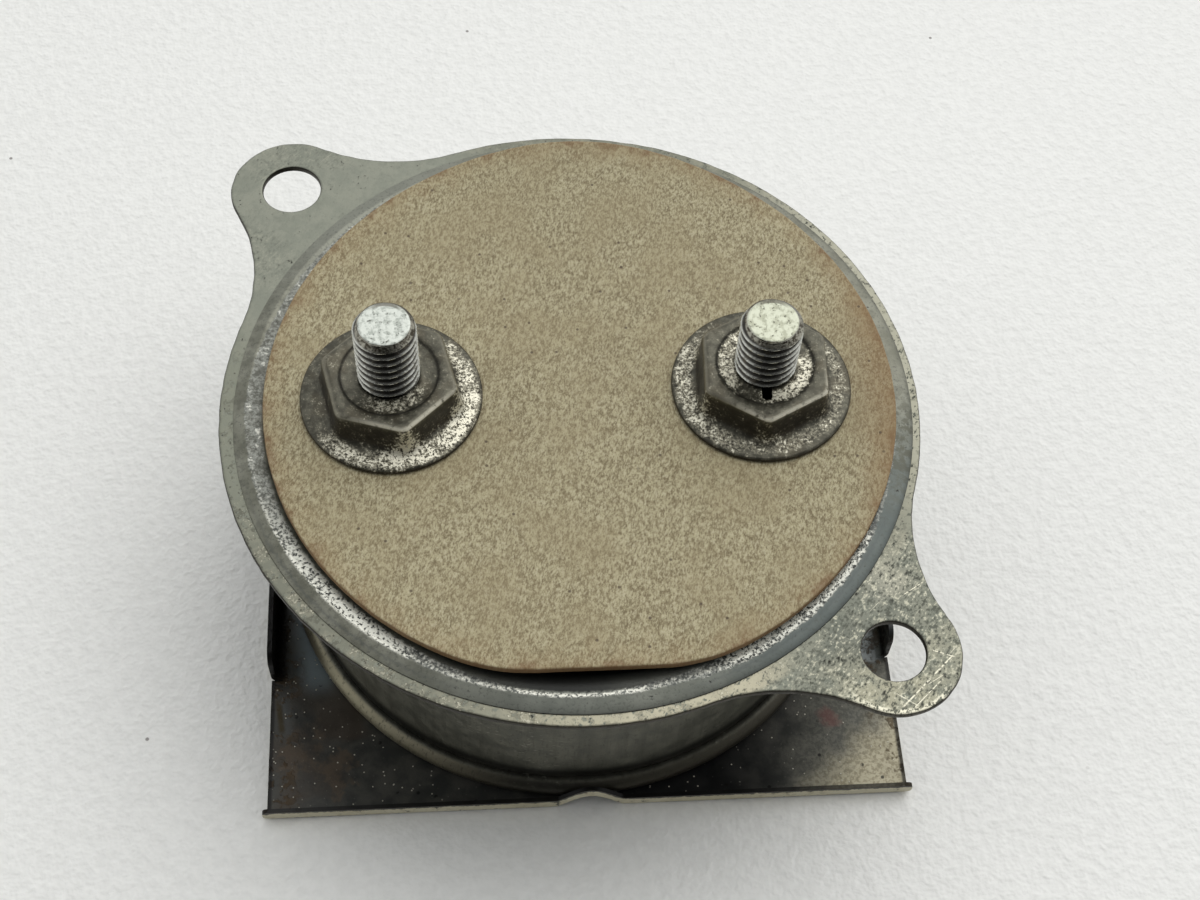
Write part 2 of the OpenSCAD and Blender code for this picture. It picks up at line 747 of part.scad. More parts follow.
// Winding's middle line: a tail, the turns round the sleeve, and a straight run back to the bend
function turn_point(t) =
    [wind_a * squared(sin(360 * t)), -wind_start - wind_pitch * t,
     strip_mid + wind_b * squared(cos(360 * t))];
wind_top = strip_mid + wind_b;
wind_path = concat(
    [[-tail_x, -tail_end, run_z], [-tail_x, -tail_end - 0.5, run_z],
     [-tail_x * 0.75, -wind_start + 0.7, run_z - 0.35], [-tail_x * 0.4, -wind_start + 0.2, wind_top + 0.15]],
    [for (i = [0:turns * rings]) turn_point(i / rings)],
    [[tail_x * 0.45, -wind_end - 0.15, wind_top + 0.12], [tail_x * 0.85, -wind_end - 0.05, run_z - 0.4],
     [tail_x, -wind_end + 0.5, run_z], [tail_x, -tail_end - 0.5, run_z], [tail_x, -tail_end, run_z]]);

// Least gap between turns: points more than half a turn apart along the wire
wind_gap = min([for (i = [0:len(wind_path) - 1], j = [i + rings / 2:len(wind_path) - 1])
    norm(wind_path[i] - wind_path[j])]) - 2 * wire_r;

module heater_winding() {
    echo(least_gap_of_winding = wind_gap);
    color("#5d3b24") leg_frame() tube(wind_path, wire_r, 6, [0.02, 1, 0.015]);
}

// Everything on the arbor turns with it
module on_arbor() {
    translate(pivot) rotate(rest_turn) children();
}

module arbor() {
    color("#c9ccd0") on_arbor() translate([0, 0, arbor_foot])
        cylinder(r = arbor_r, h = arbor_top - arbor_foot);
}

module pointer_hub() {
    bevel = 0.25;
    inner = hub_r - hub_rim;
    color("#26231f") on_arbor() difference() {
        translate([0, 0, hub_top - hub_t]) rotate_extrude() polygon([
            [0, 0], [hub_r - bevel, 0], [hub_r, bevel], [hub_r, hub_t - hub_step],
            [inner, hub_t - hub_step], [inner, hub_t], [0, hub_t]]);
        hole(arbor_r, hub_top - hub_t, hub_top);
    }
}

module pointer() {
    root = blade_root / 2;
    tip = blade_tip / 2;
    mid = hub_r - hub_rim / 2;
    color("#8c2b20") on_arbor() translate([0, 0, blade_z]) linear_extrude(pointer_t) {
        difference() {
            circle(r = hub_r);
            circle(r = hub_r - hub_rim);
        }
        polygon([[-root, mid], [root, mid], [tip, pointer_len], [-tip, pointer_len]]);
        polygon([[root, -mid], [-root, -mid],
            [-root - tail_flare, -blade_tail], [root + tail_flare, -blade_tail]]);
    }
}

module crank() {
    color("#c9ccd0") on_arbor() difference() {
        union() {
            translate([0, 0, crank_z]) cylinder(r = crank_hub_r, h = crank_hub_t);
            hull() for (at = [[0, crank_hub_r], [crank_reach, crank_end_r]])
                translate([0, at[0], crank_top - crank_t]) cylinder(r = at[1], h = crank_t, $fn = 32);
            translate([0, crank_reach, crank_top - crank_t]) cylinder(r = pin_r, h = crank_t + pin_rise);
        }
        hole(arbor_r, crank_z, crank_top);
    }
}

case();
back_cover();
insulating_disc();
stud(-1, stud_left_h);  // stud_left
stud(1, stud_right_h);  // stud_right
nut(-1, nut_left_turn, nut_left_slot);  // nut_left
nut(1, nut_right_turn, nut_right_slot);  // nut_right
bush(-1);  // bush_left
bush(1);  // bush_right
lug(-1);  // lug_left
lug(1);  // lug_right
lead(-1);  // lead_left
lead(1);  // lead_right
dial_plate();
stop_pins();
arbor_bush();
bridge();
bridge_rivets();
anchor_post();
anchor_rivets();
compensating_leg();
arbor();
pointer_hub();
pointer();
crank();
heated_leg();
drive_tab();
winding_sleeve();
heater_winding();
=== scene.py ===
"""Looks of the oil pressure gauge, which lies face down on a pale desk. Lengths are in millimetres."""
import math

import bmesh
import bpy
from mathutils import Matrix, Vector, noise
from mathutils.geometry import delaunay_2d_cdt


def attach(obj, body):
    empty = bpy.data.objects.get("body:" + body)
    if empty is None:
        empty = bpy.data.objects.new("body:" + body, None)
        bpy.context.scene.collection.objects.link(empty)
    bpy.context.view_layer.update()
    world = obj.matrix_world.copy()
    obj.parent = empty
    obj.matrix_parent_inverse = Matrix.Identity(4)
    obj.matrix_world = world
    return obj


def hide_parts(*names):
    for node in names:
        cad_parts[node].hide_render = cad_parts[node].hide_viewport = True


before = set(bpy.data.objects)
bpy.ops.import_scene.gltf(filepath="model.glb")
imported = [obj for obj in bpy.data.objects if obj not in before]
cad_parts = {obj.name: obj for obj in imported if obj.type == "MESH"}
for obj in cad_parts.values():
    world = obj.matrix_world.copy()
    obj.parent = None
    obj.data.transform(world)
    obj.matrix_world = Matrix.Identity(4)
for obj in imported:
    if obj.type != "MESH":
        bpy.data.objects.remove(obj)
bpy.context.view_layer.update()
MM = 0.001
# Points closer than this are one point
WELD = 0.002

# Values taken over from the CAD
FLANGE_R, CASE_T, CAN_R, ROOT_R, BEAD_R = 27.5, 0.6, 23.0, 2.4, 24.2
EAR_REACH, EAR_R, EAR_HOLE_R, EAR_FILLET_R, EAR_TURN = 31.75, 5.1, 2.4, 14.5, 135.0
COVER_R, COVER_T, CREST_R, CREST_RISE, GROOVE_D = 26.6, 0.4, 25.3, 0.1, 0.9
DISC_R, DISC_T, DISC_FLAT, DISC_X = 24.6, 0.7, 23.6, 0.7
STUD_GAP, STUD_SHIFT, STUD_R, SHANK_R, HEAD_R, BARREL_R = 28.8, 0.4, 2.4, 2.1, 4.4, 3.3
SKIRT_R, NUT_AF, NUT_H, NUT_RING_R, NUT_RING_D, NUT_HOLE_R = 7.05, 9.6, 3.4, 3.85, 0.25, 2.15
PLATE_T, PLATE_SHIFT, ARCH_W, ARCH_H = 0.4, 0.75, 5.4, 1.9
DIAL_Z, PIVOT_Y, SWING, SCALE_R = 2.2, -14.0, 60, 28.6
HEAD_Z, LUG_Z, FLANGE_Z, DISC_Z, RIGHT_END, LEFT_END = 19.8, 21.2, 22.2, 23.1, 32.6, 33.5
PLATEAU_R = 19.9
NUT_Z = DISC_Z + DISC_T
CAN_IN = CAN_R - CASE_T
ROOT = (CAN_IN + ROOT_R, FLANGE_Z - ROOT_R)
LEFT_X, RIGHT_X = STUD_SHIFT - STUD_GAP / 2, STUD_SHIFT + STUD_GAP / 2
EAR_X = EAR_REACH * math.cos(math.radians(EAR_TURN))
# Segments of a turned piece
SEGS = 192
# Thread pitch and depth
PITCH, THREAD_D = 0.794, 0.46
# How far the cover's rim lies to the right of the case's axis
COVER_SHIFT = 0.25
# Share of a parabola in the arch of the front lip; the rest is a wave
ARCH_ROUND = 0.6
# scratches beside the right ear's hole: start, end and half width
EAR_SCRATCHES = [((22.5, -26.9), (26.7, -23.0), 0.09), ((23.2, -27.1), (25.6, -24.9), 0.06),
                 ((25.2, -22.5), (26.8, -23.1), 0.07), ((23.8, -17.9), (25.4, -16.9), 0.06),
                 ((22.2, -25.9), (23.6, -26.9), 0.06), ((24.6, -25.2), (26.0, -24.4), 0.05)]
# brown stains on the plate's back: centre and reach
BROWN_STAINS = [((-22.9, -19.5), 1.5), ((-20.0, -20.6), 1.4), ((-19.6, -22.2), 0.8), ((-22.4, -17.6), 0.9)]
# wear of the nuts: direction, half width, inner and outer radius, lowest height and strength
LEFT_WEAR = [(-48, 62, 5.3, 6.9, -1, 1.0), (-110, 35, 5.7, 7.0, -1, 0.9), (20, 30, 5.2, 6.7, -1, 0.9),
             (-80, 50, 2.2, 3.4, 2.9, 0.75)]
RIGHT_WEAR = [(-165, 60, 5.4, 6.9, -1, 0.75), (-60, 60, 5.4, 6.6, -1, 0.55), (30, 40, 5.6, 6.6, -1, 0.6),
              (170, 60, 2.3, 3.7, 2.9, 0.9), (-45, 62, 2.5, 3.7, 2.9, 1.0)]


# Camera
def make_camera():
    """The photograph's view, from a fit of the flange, the ears, the studs and the plate's corners."""
    picture, focal, centre = (1200, 900), 1892.0954, (571.7119, 403.5142)
    tilt, turn, roll = (math.radians(a) for a in (57.8942, -6.4531, 3.6649))
    distance, sensor = 148.70, 36
    back = Vector((math.sin(turn) * math.cos(tilt), -math.cos(turn) * math.cos(tilt), math.sin(tilt)))
    right = Vector((math.cos(turn), math.sin(turn), 0))
    up = back.cross(right)
    side = right * math.cos(roll) + up * math.sin(roll)
    over = up * math.cos(roll) - right * math.sin(roll)
    aside = (centre[0] - picture[0] / 2) * distance / focal
    above = (picture[1] / 2 - centre[1]) * distance / focal
    place = Vector((0, 0, FLANGE_Z)) - side * aside - over * above + back * distance
    data = bpy.data.cameras.new("camera")
    data.sensor_width, data.lens = sensor, sensor * focal / picture[0]
    data.clip_start, data.clip_end = 0.005, 10
    camera = bpy.data.objects.new("camera", data)
    bpy.context.scene.collection.objects.link(camera)
    camera.matrix_world = Matrix.Translation(place * MM) @ Matrix((side, over, back)).transposed().to_4x4()
    bpy.context.scene.camera = camera


# Outlines
def arc(centre, radius, start, end, count):
    """Points of an arc from start to end, in degrees."""
    steps = (math.radians(start + (end - start) * i / count) for i in range(count + 1))
    return [(centre[0] + radius * math.cos(a), centre[1] + radius * math.sin(a)) for a in steps]


def circle(radius, count, centre=(0, 0)):
    """Points of a circle, the first one towards +X."""
    return arc(centre, radius, 0, 360, count)[:-1]


def sideways(path, i, closed=False):
    """Mitred unit step to the left of a path at point i."""
    n = len(path)
    here = Vector(path[i])
    before = Vector(path[(i - 1) % n]) if closed or i > 0 else None
    after = Vector(path[(i + 1) % n]) if closed or i < n - 1 else None
    a = (here - before).normalized() if before is not None else (after - here).normalized()
    b = (after - here).normalized() if after is not None else a
    left_a, left_b = Vector((-a.y, a.x)), Vector((-b.y, b.x))
    both = (left_a + left_b).normalized()
    return both / max(both.dot(left_a), 0.3)


def offset(loop, step):
    """A closed loop, counter-clockwise, moved outwards by step."""
    return [tuple(Vector(p) - sideways(loop, i, True) * step) for i, p in enumerate(loop)]


def inside(point, loop):
    """True where a point lies inside a closed loop."""
    x, y = point
    odd = False
    for (ax, ay), (bx, by) in zip(loop, loop[1:] + loop[:1]):
        if (ay > y) != (by > y) and x < (bx - ax) * (y - ay) / (by - ay) + ax:
            odd = not odd
    return odd


def inner_grid(step, outer, holes, margin):
    """Points of a square grid inside a loop and clear of its holes, which keep a face's triangles even."""
    inner, wide, reach = offset(outer, -margin), [offset(hole, 0.4) for hole in holes], range(-24, 25)
    grid = [(i * step, j * step) for i in reach for j in reach]
    return [p for p in grid if inside(p, inner) and not any(inside(p, hole) for hole in wide)]


def section(path, thick, round_end=False):
    """Outline of a bent sheet from its middle line, from the left side on. Its last edge may be round."""
    steps = [sideways(path, i) * thick / 2 for i in range(len(path))]
    left = [tuple(Vector(p) + step) for p, step in zip(path, steps)]
    right = [tuple(Vector(p) - step) for p, step in zip(path, steps)]
    end = []
    if round_end:
        way = Vector(path[-1]) - Vector(path[-2])
        heading = math.degrees(math.atan2(way.y, way.x))
        end = arc(path[-1], thick / 2, heading + 90, heading - 90, 5)[1:-1]
    return left + end + right[::-1]


def worn(loop, size, amount, layers, inward=1.0):
    """A loop drawn inwards, whose points wander by two layers of a smooth noise of a given size."""
    def wander(x, y, layer):
        return amount * noise.noise(Vector((x / size, y / size, layer / size)))

    return [(x * inward + wander(x, y, layers[0]), y * inward + wander(x, y, layers[1])) for x, y in loop]


# Mesh helpers
def lathe(bm, profile, count=SEGS, centre=(0, 0), closed=False):
    """Turns a profile of (radius, height) about the vertical through centre."""
    rings = []
    for radius, height in profile:
        if radius < 1e-5:
            rings.append([bm.verts.new((centre[0], centre[1], height))])
        else:
            rings.append([bm.verts.new((x, y, height)) for x, y in circle(radius, count, centre)])
    for low, high in zip(rings, rings[1:] + rings[:1] if closed else rings[1:]):
        for k in range(count):
            n = (k + 1) % count
            corners = [low[k % len(low)], low[n % len(low)], high[n % len(high)], high[k % len(high)]]
            corners = list(dict.fromkeys(corners))
            if len(corners) > 2:
                bm.faces.new(corners)


def strips(bm, loops):
    """Joins loops of equally many points, given as lists of (x, y, z)."""
    rings = [[bm.verts.new(p) for p in loop] for loop in loops]
    for low, high in zip(rings, rings[1:]):
        for k in range(len(low)):
            n = (k + 1) % len(low)
            bm.faces.new((low[k], low[n], high[n], high[k]))


def prism(bm, outline, low, high):
    """An upright solid between two heights."""
    strips(bm, [[(x, y, z) for x, y in outline] for z in (low, high)])
    for z in (low, high):
        bm.faces.new([bm.verts.new((x, y, z)) for x, y in outline])


def flat(bm, outer, holes, heights, extra=(), shape=None):
    """Fills the area between an outer loop and its holes, once for each height."""
    points, edges = [], []
    for loop in [outer] + list(holes):
        base = len(points)
        points += [Vector(p) for p in loop]
        edges += [(base + i, base + (i + 1) % len(loop)) for i in range(len(loop))]
    points += [Vector(p) for p in extra]
    found, _, triangles, _, _, _ = delaunay_2d_cdt(points, edges, [], 0, 1e-6)
    kept = []
    for triangle in triangles:
        middle = sum((found[i] for i in triangle), Vector((0, 0))) / len(triangle)
        if inside(middle, outer) and not any(inside(middle, hole) for hole in holes):
            kept.append(triangle)
    for height in heights:
        verts = {}
        for triangle in kept:
            for i in triangle:
                if i not in verts:
                    lift = shape(found[i].x, found[i].y) if shape else 0
                    verts[i] = bm.verts.new((found[i].x, found[i].y, height + lift))
            bm.faces.new([verts[i] for i in triangle])


def rounded_edge(bm, loop, top, bottom, soft, inward, shape=None):
    """The upright edge of a plate round a loop, softened at both corners. Returns its flat part's loop."""
    levels = [(soft * (1 - math.sin(a)), soft * (1 - math.cos(a)))
              for a in (0, math.pi / 6, math.pi / 3, math.pi / 2)]
    flat_back = soft + 0.08
    rows = [(flat_back, top)]
    rows += [(back, top - down) for back, down in levels]
    rows += [(back, bottom + down) for back, down in levels[::-1]]
    rows += [(flat_back, bottom)]
    loops = []
    for back, height in rows:
        ring = offset(loop, -back * inward)
        loops.append([(x, y, height + (shape(x, y) if shape else 0)) for x, y in ring])
    strips(bm, loops)
    return offset(loop, -flat_back * inward)


def to_metres(bm):
    """Welds a bmesh in millimetres, turns its faces outwards and scales it."""
    bmesh.ops.remove_doubles(bm, verts=bm.verts, dist=WELD)
    bmesh.ops.recalc_face_normals(bm, faces=bm.faces)
    bmesh.ops.scale(bm, vec=(MM, MM, MM), verts=bm.verts)


def new_object(name, bm):
    """A linked object of a bmesh in metres."""
    mesh = bpy.data.meshes.new(name)
    bm.to_mesh(mesh)
    bm.free()
    made = bpy.data.objects.new(name, mesh)
    bpy.context.scene.collection.objects.link(made)
    return made


def evaluated(thing):
    """A new mesh of an object or a text after its modifiers."""
    bpy.context.view_layer.update()
    return bpy.data.meshes.new_from_object(thing.evaluated_get(bpy.context.evaluated_depsgraph_get()))


def finish_mesh(name, bm, smooth=40, weighted=True):
    """Makes a piece of a bmesh in millimetres, with edges sharper than smooth degrees kept sharp."""
    to_metres(bm)
    for face in bm.faces:
        face.smooth = True
    for edge in bm.edges:
        edge.smooth = not (edge.is_manifold and edge.calc_face_angle() > math.radians(smooth))
    piece = new_object(name, bm)
    if weighted:
        piece.modifiers.new("normals", "WEIGHTED_NORMAL").keep_sharp = True
    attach(piece, "gauge_case")
    return piece


# Pieces of the case
def ear_outline():
    """Outline of the flange with its two ears, counter-clockwise."""
    reach = FLANGE_R + EAR_FILLET_R
    away = EAR_R + EAR_FILLET_R
    turn = math.acos((EAR_REACH ** 2 + reach ** 2 - away ** 2) / (2 * EAR_REACH * reach))
    centre = Vector((math.cos(turn), math.sin(turn))) * reach
    tip, foot = math.degrees(math.atan2(centre.y, centre.x - EAR_REACH)), math.degrees(turn)
    ear = arc((centre.x, -centre.y), EAR_FILLET_R, 180 - foot, 180 - tip, 30)[:-1]
    ear += arc((EAR_REACH, 0), EAR_R, -tip, tip, 44)[:-1]
    ear += arc(centre, EAR_FILLET_R, 180 + tip, 180 + foot, 30)[:-1]
    outline = []
    for start in (EAR_TURN, EAR_TURN + 180):
        c, s = math.cos(math.radians(start)), math.sin(math.radians(start))
        outline += [(x * c - y * s, x * s + y * c) for x, y in ear]
        outline += arc((0, 0), FLANGE_R, start + foot, start + 180 - foot, 130)[:-1]
    return outline


def case_piece():
    """Can wall with its rolled bead and the bend to the flange, and the flange with its ears."""
    soft, join, low = 0.16, 25.2, FLANGE_Z - CASE_T
    tube = (BEAD_R - CAN_IN) / 2
    path = [(join, FLANGE_Z - CASE_T / 2)]
    path += arc(ROOT, ROOT_R - CASE_T / 2, 90, 180, 10)
    path += arc((CAN_IN + tube, PLATE_T + tube), tube - CASE_T / 2, 180, 460, 22)
    bm = bmesh.new()
    lathe(bm, section(path, CASE_T, round_end=True))
    top = rounded_edge(bm, worn(ear_outline(), 1.1, 0.05, (1, 9), inward=0.999), FLANGE_Z, low, soft, 1)
    holes = [circle(join, SEGS)]
    for x in (EAR_X, -EAR_X):
        holes.append(rounded_edge(bm, circle(EAR_HOLE_R, 64, (x, -x)), FLANGE_Z, low, soft, -1))
    flat(bm, top, holes, [FLANGE_Z, low], inner_grid(1.5, top, holes, 0.4))
    return finish_mesh("case_shell", bm)


def cover_section(join):
    """The cover's rim thins out to its edge, and the ridge is a soft swelling that falls into the hollow."""
    under, crest = FLANGE_Z + 0.01, FLANGE_Z + COVER_T + CREST_RISE
    groove, level = FLANGE_Z - GROOVE_D, DISC_Z - COVER_T / 2
    rim = [(COVER_R - 0.03, under), (COVER_R, under + 0.03), (COVER_R - 0.02, under + 0.08),
           (26.4, under + 0.17), (26.1, under + 0.27), (25.8, under + 0.37), (25.55, crest - 0.06),
           (25.4, crest - 0.01), (CREST_R, crest), (25.15, crest - 0.02), (25.0, crest - 0.05)]
    path = arc(ROOT, ROOT_R + COVER_T / 2 + 0.06, 92, 140, 12)
    path += [(CAN_IN - 0.3, groove + 0.05), (CAN_IN - 0.6, groove), (PLATEAU_R + 1.3, groove),
             (PLATEAU_R + 0.65, level - 0.35), (PLATEAU_R, level), (join, level)]
    return rim + section(path, COVER_T)[::-1] + [(25.0, under)]


def cover_piece():
    """Cover of the case's back: rim, ridge, groove and raised middle with the holes of the bushes."""
    join, low = 18.8, DISC_Z - COVER_T
    bm = bmesh.new()
    lathe(bm, cover_section(join), closed=True)
    holes = [circle(BARREL_R, 48, (x, 0)) for x in (LEFT_X, RIGHT_X)]
    for hole in holes:
        strips(bm, [[(x, y, z) for x, y in hole] for z in (DISC_Z, low)])
    flat(bm, circle(join, SEGS), holes, [DISC_Z, low])
    bmesh.ops.remove_doubles(bm, verts=bm.verts, dist=1e-4)
    # the turned part and the middle share this wall, which would lie inside the sheet
    wall = [f for f in bm.faces if all(abs(math.hypot(v.co.x, v.co.y) - join) < 1e-3 for v in f.verts)]
    bmesh.ops.delete(bm, geom=wall, context="FACES_ONLY")
    for vert in bm.verts:
        vert.co.x += COVER_SHIFT * min(1, max(0, (math.hypot(vert.co.x, vert.co.y) - 25.4) / 0.7))
    return finish_mesh("cover", bm)


def disc_bow(x, y):
    """Lift of the loose fibre disc: its rear edge has curled up a little."""
    back = max(0.0, (y - 4) / 20)
    return 1.2 * back ** 2 * math.exp(-((x - 2) / 15) ** 2)


def disc_outline():
    """A circle with one straight side at the front, whose two corners are rounded."""
    turn_r = 14.0
    down = DISC_FLAT - turn_r
    out = math.sqrt((DISC_R - turn_r) ** 2 - down ** 2)
    foot = math.degrees(math.atan2(down, out))
    loop = arc((DISC_X, 0), DISC_R, -foot, 180 + foot, 190)
    loop += arc((DISC_X - out, -down), turn_r, 180 + foot, 270, 8)[1:]
    loop += [(DISC_X - out + 2 * out * k / 14, -DISC_FLAT) for k in range(1, 14)]
    return loop + arc((DISC_X + out, -down), turn_r, 270, 360 - foot, 8)[:-1]


def disc_piece():
    """Loose fibre disc on the two studs."""
    soft, high = 0.12, DISC_Z + DISC_T
    bm = bmesh.new()
    top = rounded_edge(bm, worn(disc_outline(), 0.9, 0.035, (3, 7)), high, DISC_Z, soft, 1, disc_bow)
    holes = [rounded_edge(bm, circle(STUD_R + 0.4, 48, (x, 0)), high, DISC_Z, soft, -1, disc_bow)
             for x in (LEFT_X, RIGHT_X)]
    flat(bm, top, holes, [high, DISC_Z], inner_grid(1.2, top, holes, 0.5), disc_bow)
    return finish_mesh("fibre_disc", bm)


# Studs and nuts
def thread_radius(height, angle, phase):
    """Radius of the rolled thread at a height above its start."""
    t = (height / PITCH - angle / (2 * math.pi) + phase) % 1
    rise = min(1, max(0, abs(2 * t - 1) * 1.18 - 0.1))
    return STUD_R - THREAD_D * (1 - rise)


def stud_piece(name, x, end, phase):
    """Machine screw with a rolled thread, a flat chamfered end, a plain shank and a head."""
    sides, per_turn, face_r = 64, 14, STUD_R - 0.5
    start = NUT_Z + NUT_H - NUT_RING_D + 0.02
    bm = bmesh.new()
    lathe(bm, [(0, HEAD_Z), (HEAD_R - 0.3, HEAD_Z), (HEAD_R - 0.08, HEAD_Z + 0.1), (HEAD_R, HEAD_Z + 0.3),
               (HEAD_R, LUG_Z), (SHANK_R, LUG_Z), (SHANK_R, start)], sides, (x, 0))
    loops = [[(px, py, start) for px, py in circle(SHANK_R, sides, (x, 0))]]
    rows = int((end - start) / PITCH * per_turn)
    for j in range(rows + 1):
        z = start + (end - start) * j / rows
        ring = []
        for k in range(sides):
            a = 2 * math.pi * k / sides
            radius = min(thread_radius(z - start, a, phase), face_r + max(0, end - z) * 1.05)
            ring.append((x + radius * math.cos(a), radius * math.sin(a), z))
        loops.append(ring)
    strips(bm, loops)
    lathe(bm, [(face_r, end), (face_r - 0.12, end), (0, end)], sides, (x, 0))
    return finish_mesh(name, bm, smooth=60, weighted=False)


def hex_radius(angle, apothem, corner):
    """Polar radius of a hexagon with rounded corners; a flat's middle is at 30 degrees."""
    a = abs((math.degrees(angle) % 60) - 30)
    reach = (apothem - corner) / math.cos(math.radians(30))
    bend = math.degrees(math.atan((apothem - corner) * math.tan(math.radians(30)) / apothem))
    if a <= bend:
        return apothem / math.cos(math.radians(a))
    b = math.radians(30 - a)
    return reach * math.cos(b) + math.sqrt(corner ** 2 - (reach * math.sin(b)) ** 2)


def nut_section():
    """The nut's sheet from the skirt's edge over the top and back below it. Each point has a radius, a share
    of the hexagon's shape, the radius of its corners and a height."""
    half, ring_z, ring_r, sheet = NUT_AF / 2, NUT_H - NUT_RING_D, NUT_RING_R, 0.5
    skirt = [
        (SKIRT_R - 0.22, 0, 0, 0), (SKIRT_R - 0.07, 0, 0, 0.05), (SKIRT_R, 0, 0, 0.2),
        (SKIRT_R - 0.04, 0, 0, 0.4), (SKIRT_R - 0.2, 0, 0, 0.5), (SKIRT_R - 0.7, 0, 0, 0.56),
        (half + 1.15, 0.35, 1.2, 0.6), (half + 0.7, 0.75, 1.1, 0.66), (half + 0.4, 0.95, 1.05, 0.82),
        (half + 0.22, 1, 1, 1.08)]
    wall = [
        (half + 0.12, 1, 0.95, 1.5), (half + 0.05, 1, 0.9, 2.1), (half, 1, 0.85, 2.75),
        (half - 0.03, 1, 0.82, 3.02), (half - 0.1, 1, 0.8, 3.2), (half - 0.22, 1, 0.8, 3.33),
        (half - 0.38, 1, 0.8, 3.39), (half - 0.55, 1, 0.8, 3.4)]
    top = [
        (ring_r + 0.12, 0.1, 0.8, 3.38), (ring_r, 0, 0, 3.34), (ring_r - 0.1, 0, 0, 3.24),
        (ring_r - 0.2, 0, 0, ring_z + 0.03), (ring_r - 0.4, 0, 0, ring_z),
        (ring_r - 0.9, 0, 0, ring_z - 0.06),
        (NUT_HOLE_R + 0.45, 0, 0, ring_z - 0.03), (NUT_HOLE_R + 0.12, 0, 0, ring_z),
        (NUT_HOLE_R, 0, 0, ring_z - 0.08)]
    under = [
        (NUT_HOLE_R, 0, 0, ring_z - sheet), (half - 1.0, 1, 0.6, ring_z - sheet - 0.05),
        (half - sheet - 0.1, 1, 0.4, 2.3), (half - sheet, 1, 0.4, 0.5), (half - 0.2, 0.6, 0.8, 0.05),
        (half + 0.1, 0, 1, 0)]
    return skirt + wall + top + under


def nut_piece(name, x, turn, slot_turn):
    """Nut pressed from sheet: a hollow hexagon on a washer skirt, with a sunk ring round the stud. The
    turns of its corners and of its slot are in degrees."""
    count, turn = 144, math.radians(turn)
    loops = []
    for radius, share, corner, height in nut_section():
        loop = []
        for k in range(count):
            a = 2 * math.pi * k / count
            six = hex_radius(a, radius, min(corner, radius - 0.5)) if share else 0
            r = (1 - share) * radius + share * six
            loop.append((x + r * math.cos(a + turn), r * math.sin(a + turn), NUT_Z + height))
        loops.append(loop)
    bm = bmesh.new()
    strips(bm, loops + loops[:1])
    piece = finish_mesh(name, bm, smooth=55, weighted=False)
    cut_slot(piece, x, math.radians(slot_turn))
    return piece


def cut_slot(piece, x, turn):
    """Cuts the slot where the nut's sheet steps up to follow the thread."""
    half, reach, low = 0.4, NUT_RING_R - 0.5, NUT_Z + NUT_H - NUT_RING_D - 1.4
    c, s = math.cos(turn), math.sin(turn)
    outline = [(0, -half), *arc((reach - half, 0), half, -90, 90, 10), (0, half)]
    outline = [(x + px * c - py * s, px * s + py * c) for px, py in outline]
    bm = bmesh.new()
    prism(bm, outline, low, NUT_Z + NUT_H + 1)
    to_metres(bm)
    cutter = new_object("cutter", bm)
    cut = piece.modifiers.new("cut", "BOOLEAN")
    cut.object, cut.operation, cut.solver = cutter, "DIFFERENCE", "EXACT"
    result = evaluated(piece)
    piece.modifiers.clear()
    bm = bmesh.new()
    bm.from_mesh(result)
    bmesh.ops.remove_doubles(bm, verts=bm.verts, dist=WELD * MM)
    bm.to_mesh(piece.data)
    bm.free()
    for mesh in (cutter.data, result):
        bpy.data.meshes.remove(mesh)


# Dial
def plate_piece():
    """A copy of the CAD plate with its edges softened and its arch rounded."""
    bm = bmesh.new()
    bm.from_mesh(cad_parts["dial_plate"].data)
    bmesh.ops.scale(bm, vec=(1 / MM, 1 / MM, 1 / MM), verts=bm.verts)
    bmesh.ops.remove_doubles(bm, verts=bm.verts, dist=1e-3)
    bmesh.ops.dissolve_limit(bm, angle_limit=math.radians(0.6), verts=bm.verts, edges=bm.edges)
    sharp = [e for e in bm.edges if e.is_manifold and e.calc_face_angle() > math.radians(35)]
    bmesh.ops.bevel(bm, geom=sharp, offset=0.07, segments=2, affect="EDGES", clamp_overlap=True)
    piece = finish_mesh("dial", bm, smooth=50)
    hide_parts("dial_plate")
    round_arch(piece)
    return piece


def round_arch(piece):
    """Makes the arch in the front lip rounder than a wave, with the same width and rise."""
    for vert in piece.data.vertices:
        x, y, z = (c / MM for c in vert.co)
        t = (x - PLATE_SHIFT) / ARCH_W
        if y < -24.1 and abs(t) < 0.5:
            wave = (1 + math.cos(2 * math.pi * t)) / 2
            if z > ARCH_H * wave - 0.3:
                vert.co.z += ARCH_H * ARCH_ROUND * (1 - (2 * t) ** 2 - wave) * MM


def plate_faces(piece):
    """Front faces and the lips' outer faces take the dial's enamel; the rest is bare sheet."""
    for face in piece.data.polygons:
        y, z = face.center.y / MM, face.center.z / MM
        n = face.normal
        front = n.z < -0.4 and z < 2.4
        lip = abs(n.y) > 0.6 and abs(y) > 24.2 and n.y * y > 0
        face.material_index = 1 if front or lip else 0


def dial_place(reach, turn, aside=0.0):
    """A point of the dial at a reach from the pivot, turned from the scale's middle."""
    a = math.radians(turn)
    return (-reach * math.sin(a) - aside * math.cos(a), PIVOT_Y + reach * math.cos(a) - aside * math.sin(a))


def tick_size(k):
    """Length and half width of a tick: long at a number, shorter at a ten and short between."""
    if k % 6 == 0:
        return 2.6, 0.22
    return (1.9, 0.16) if k % 2 == 0 else (1.2, 0.1)


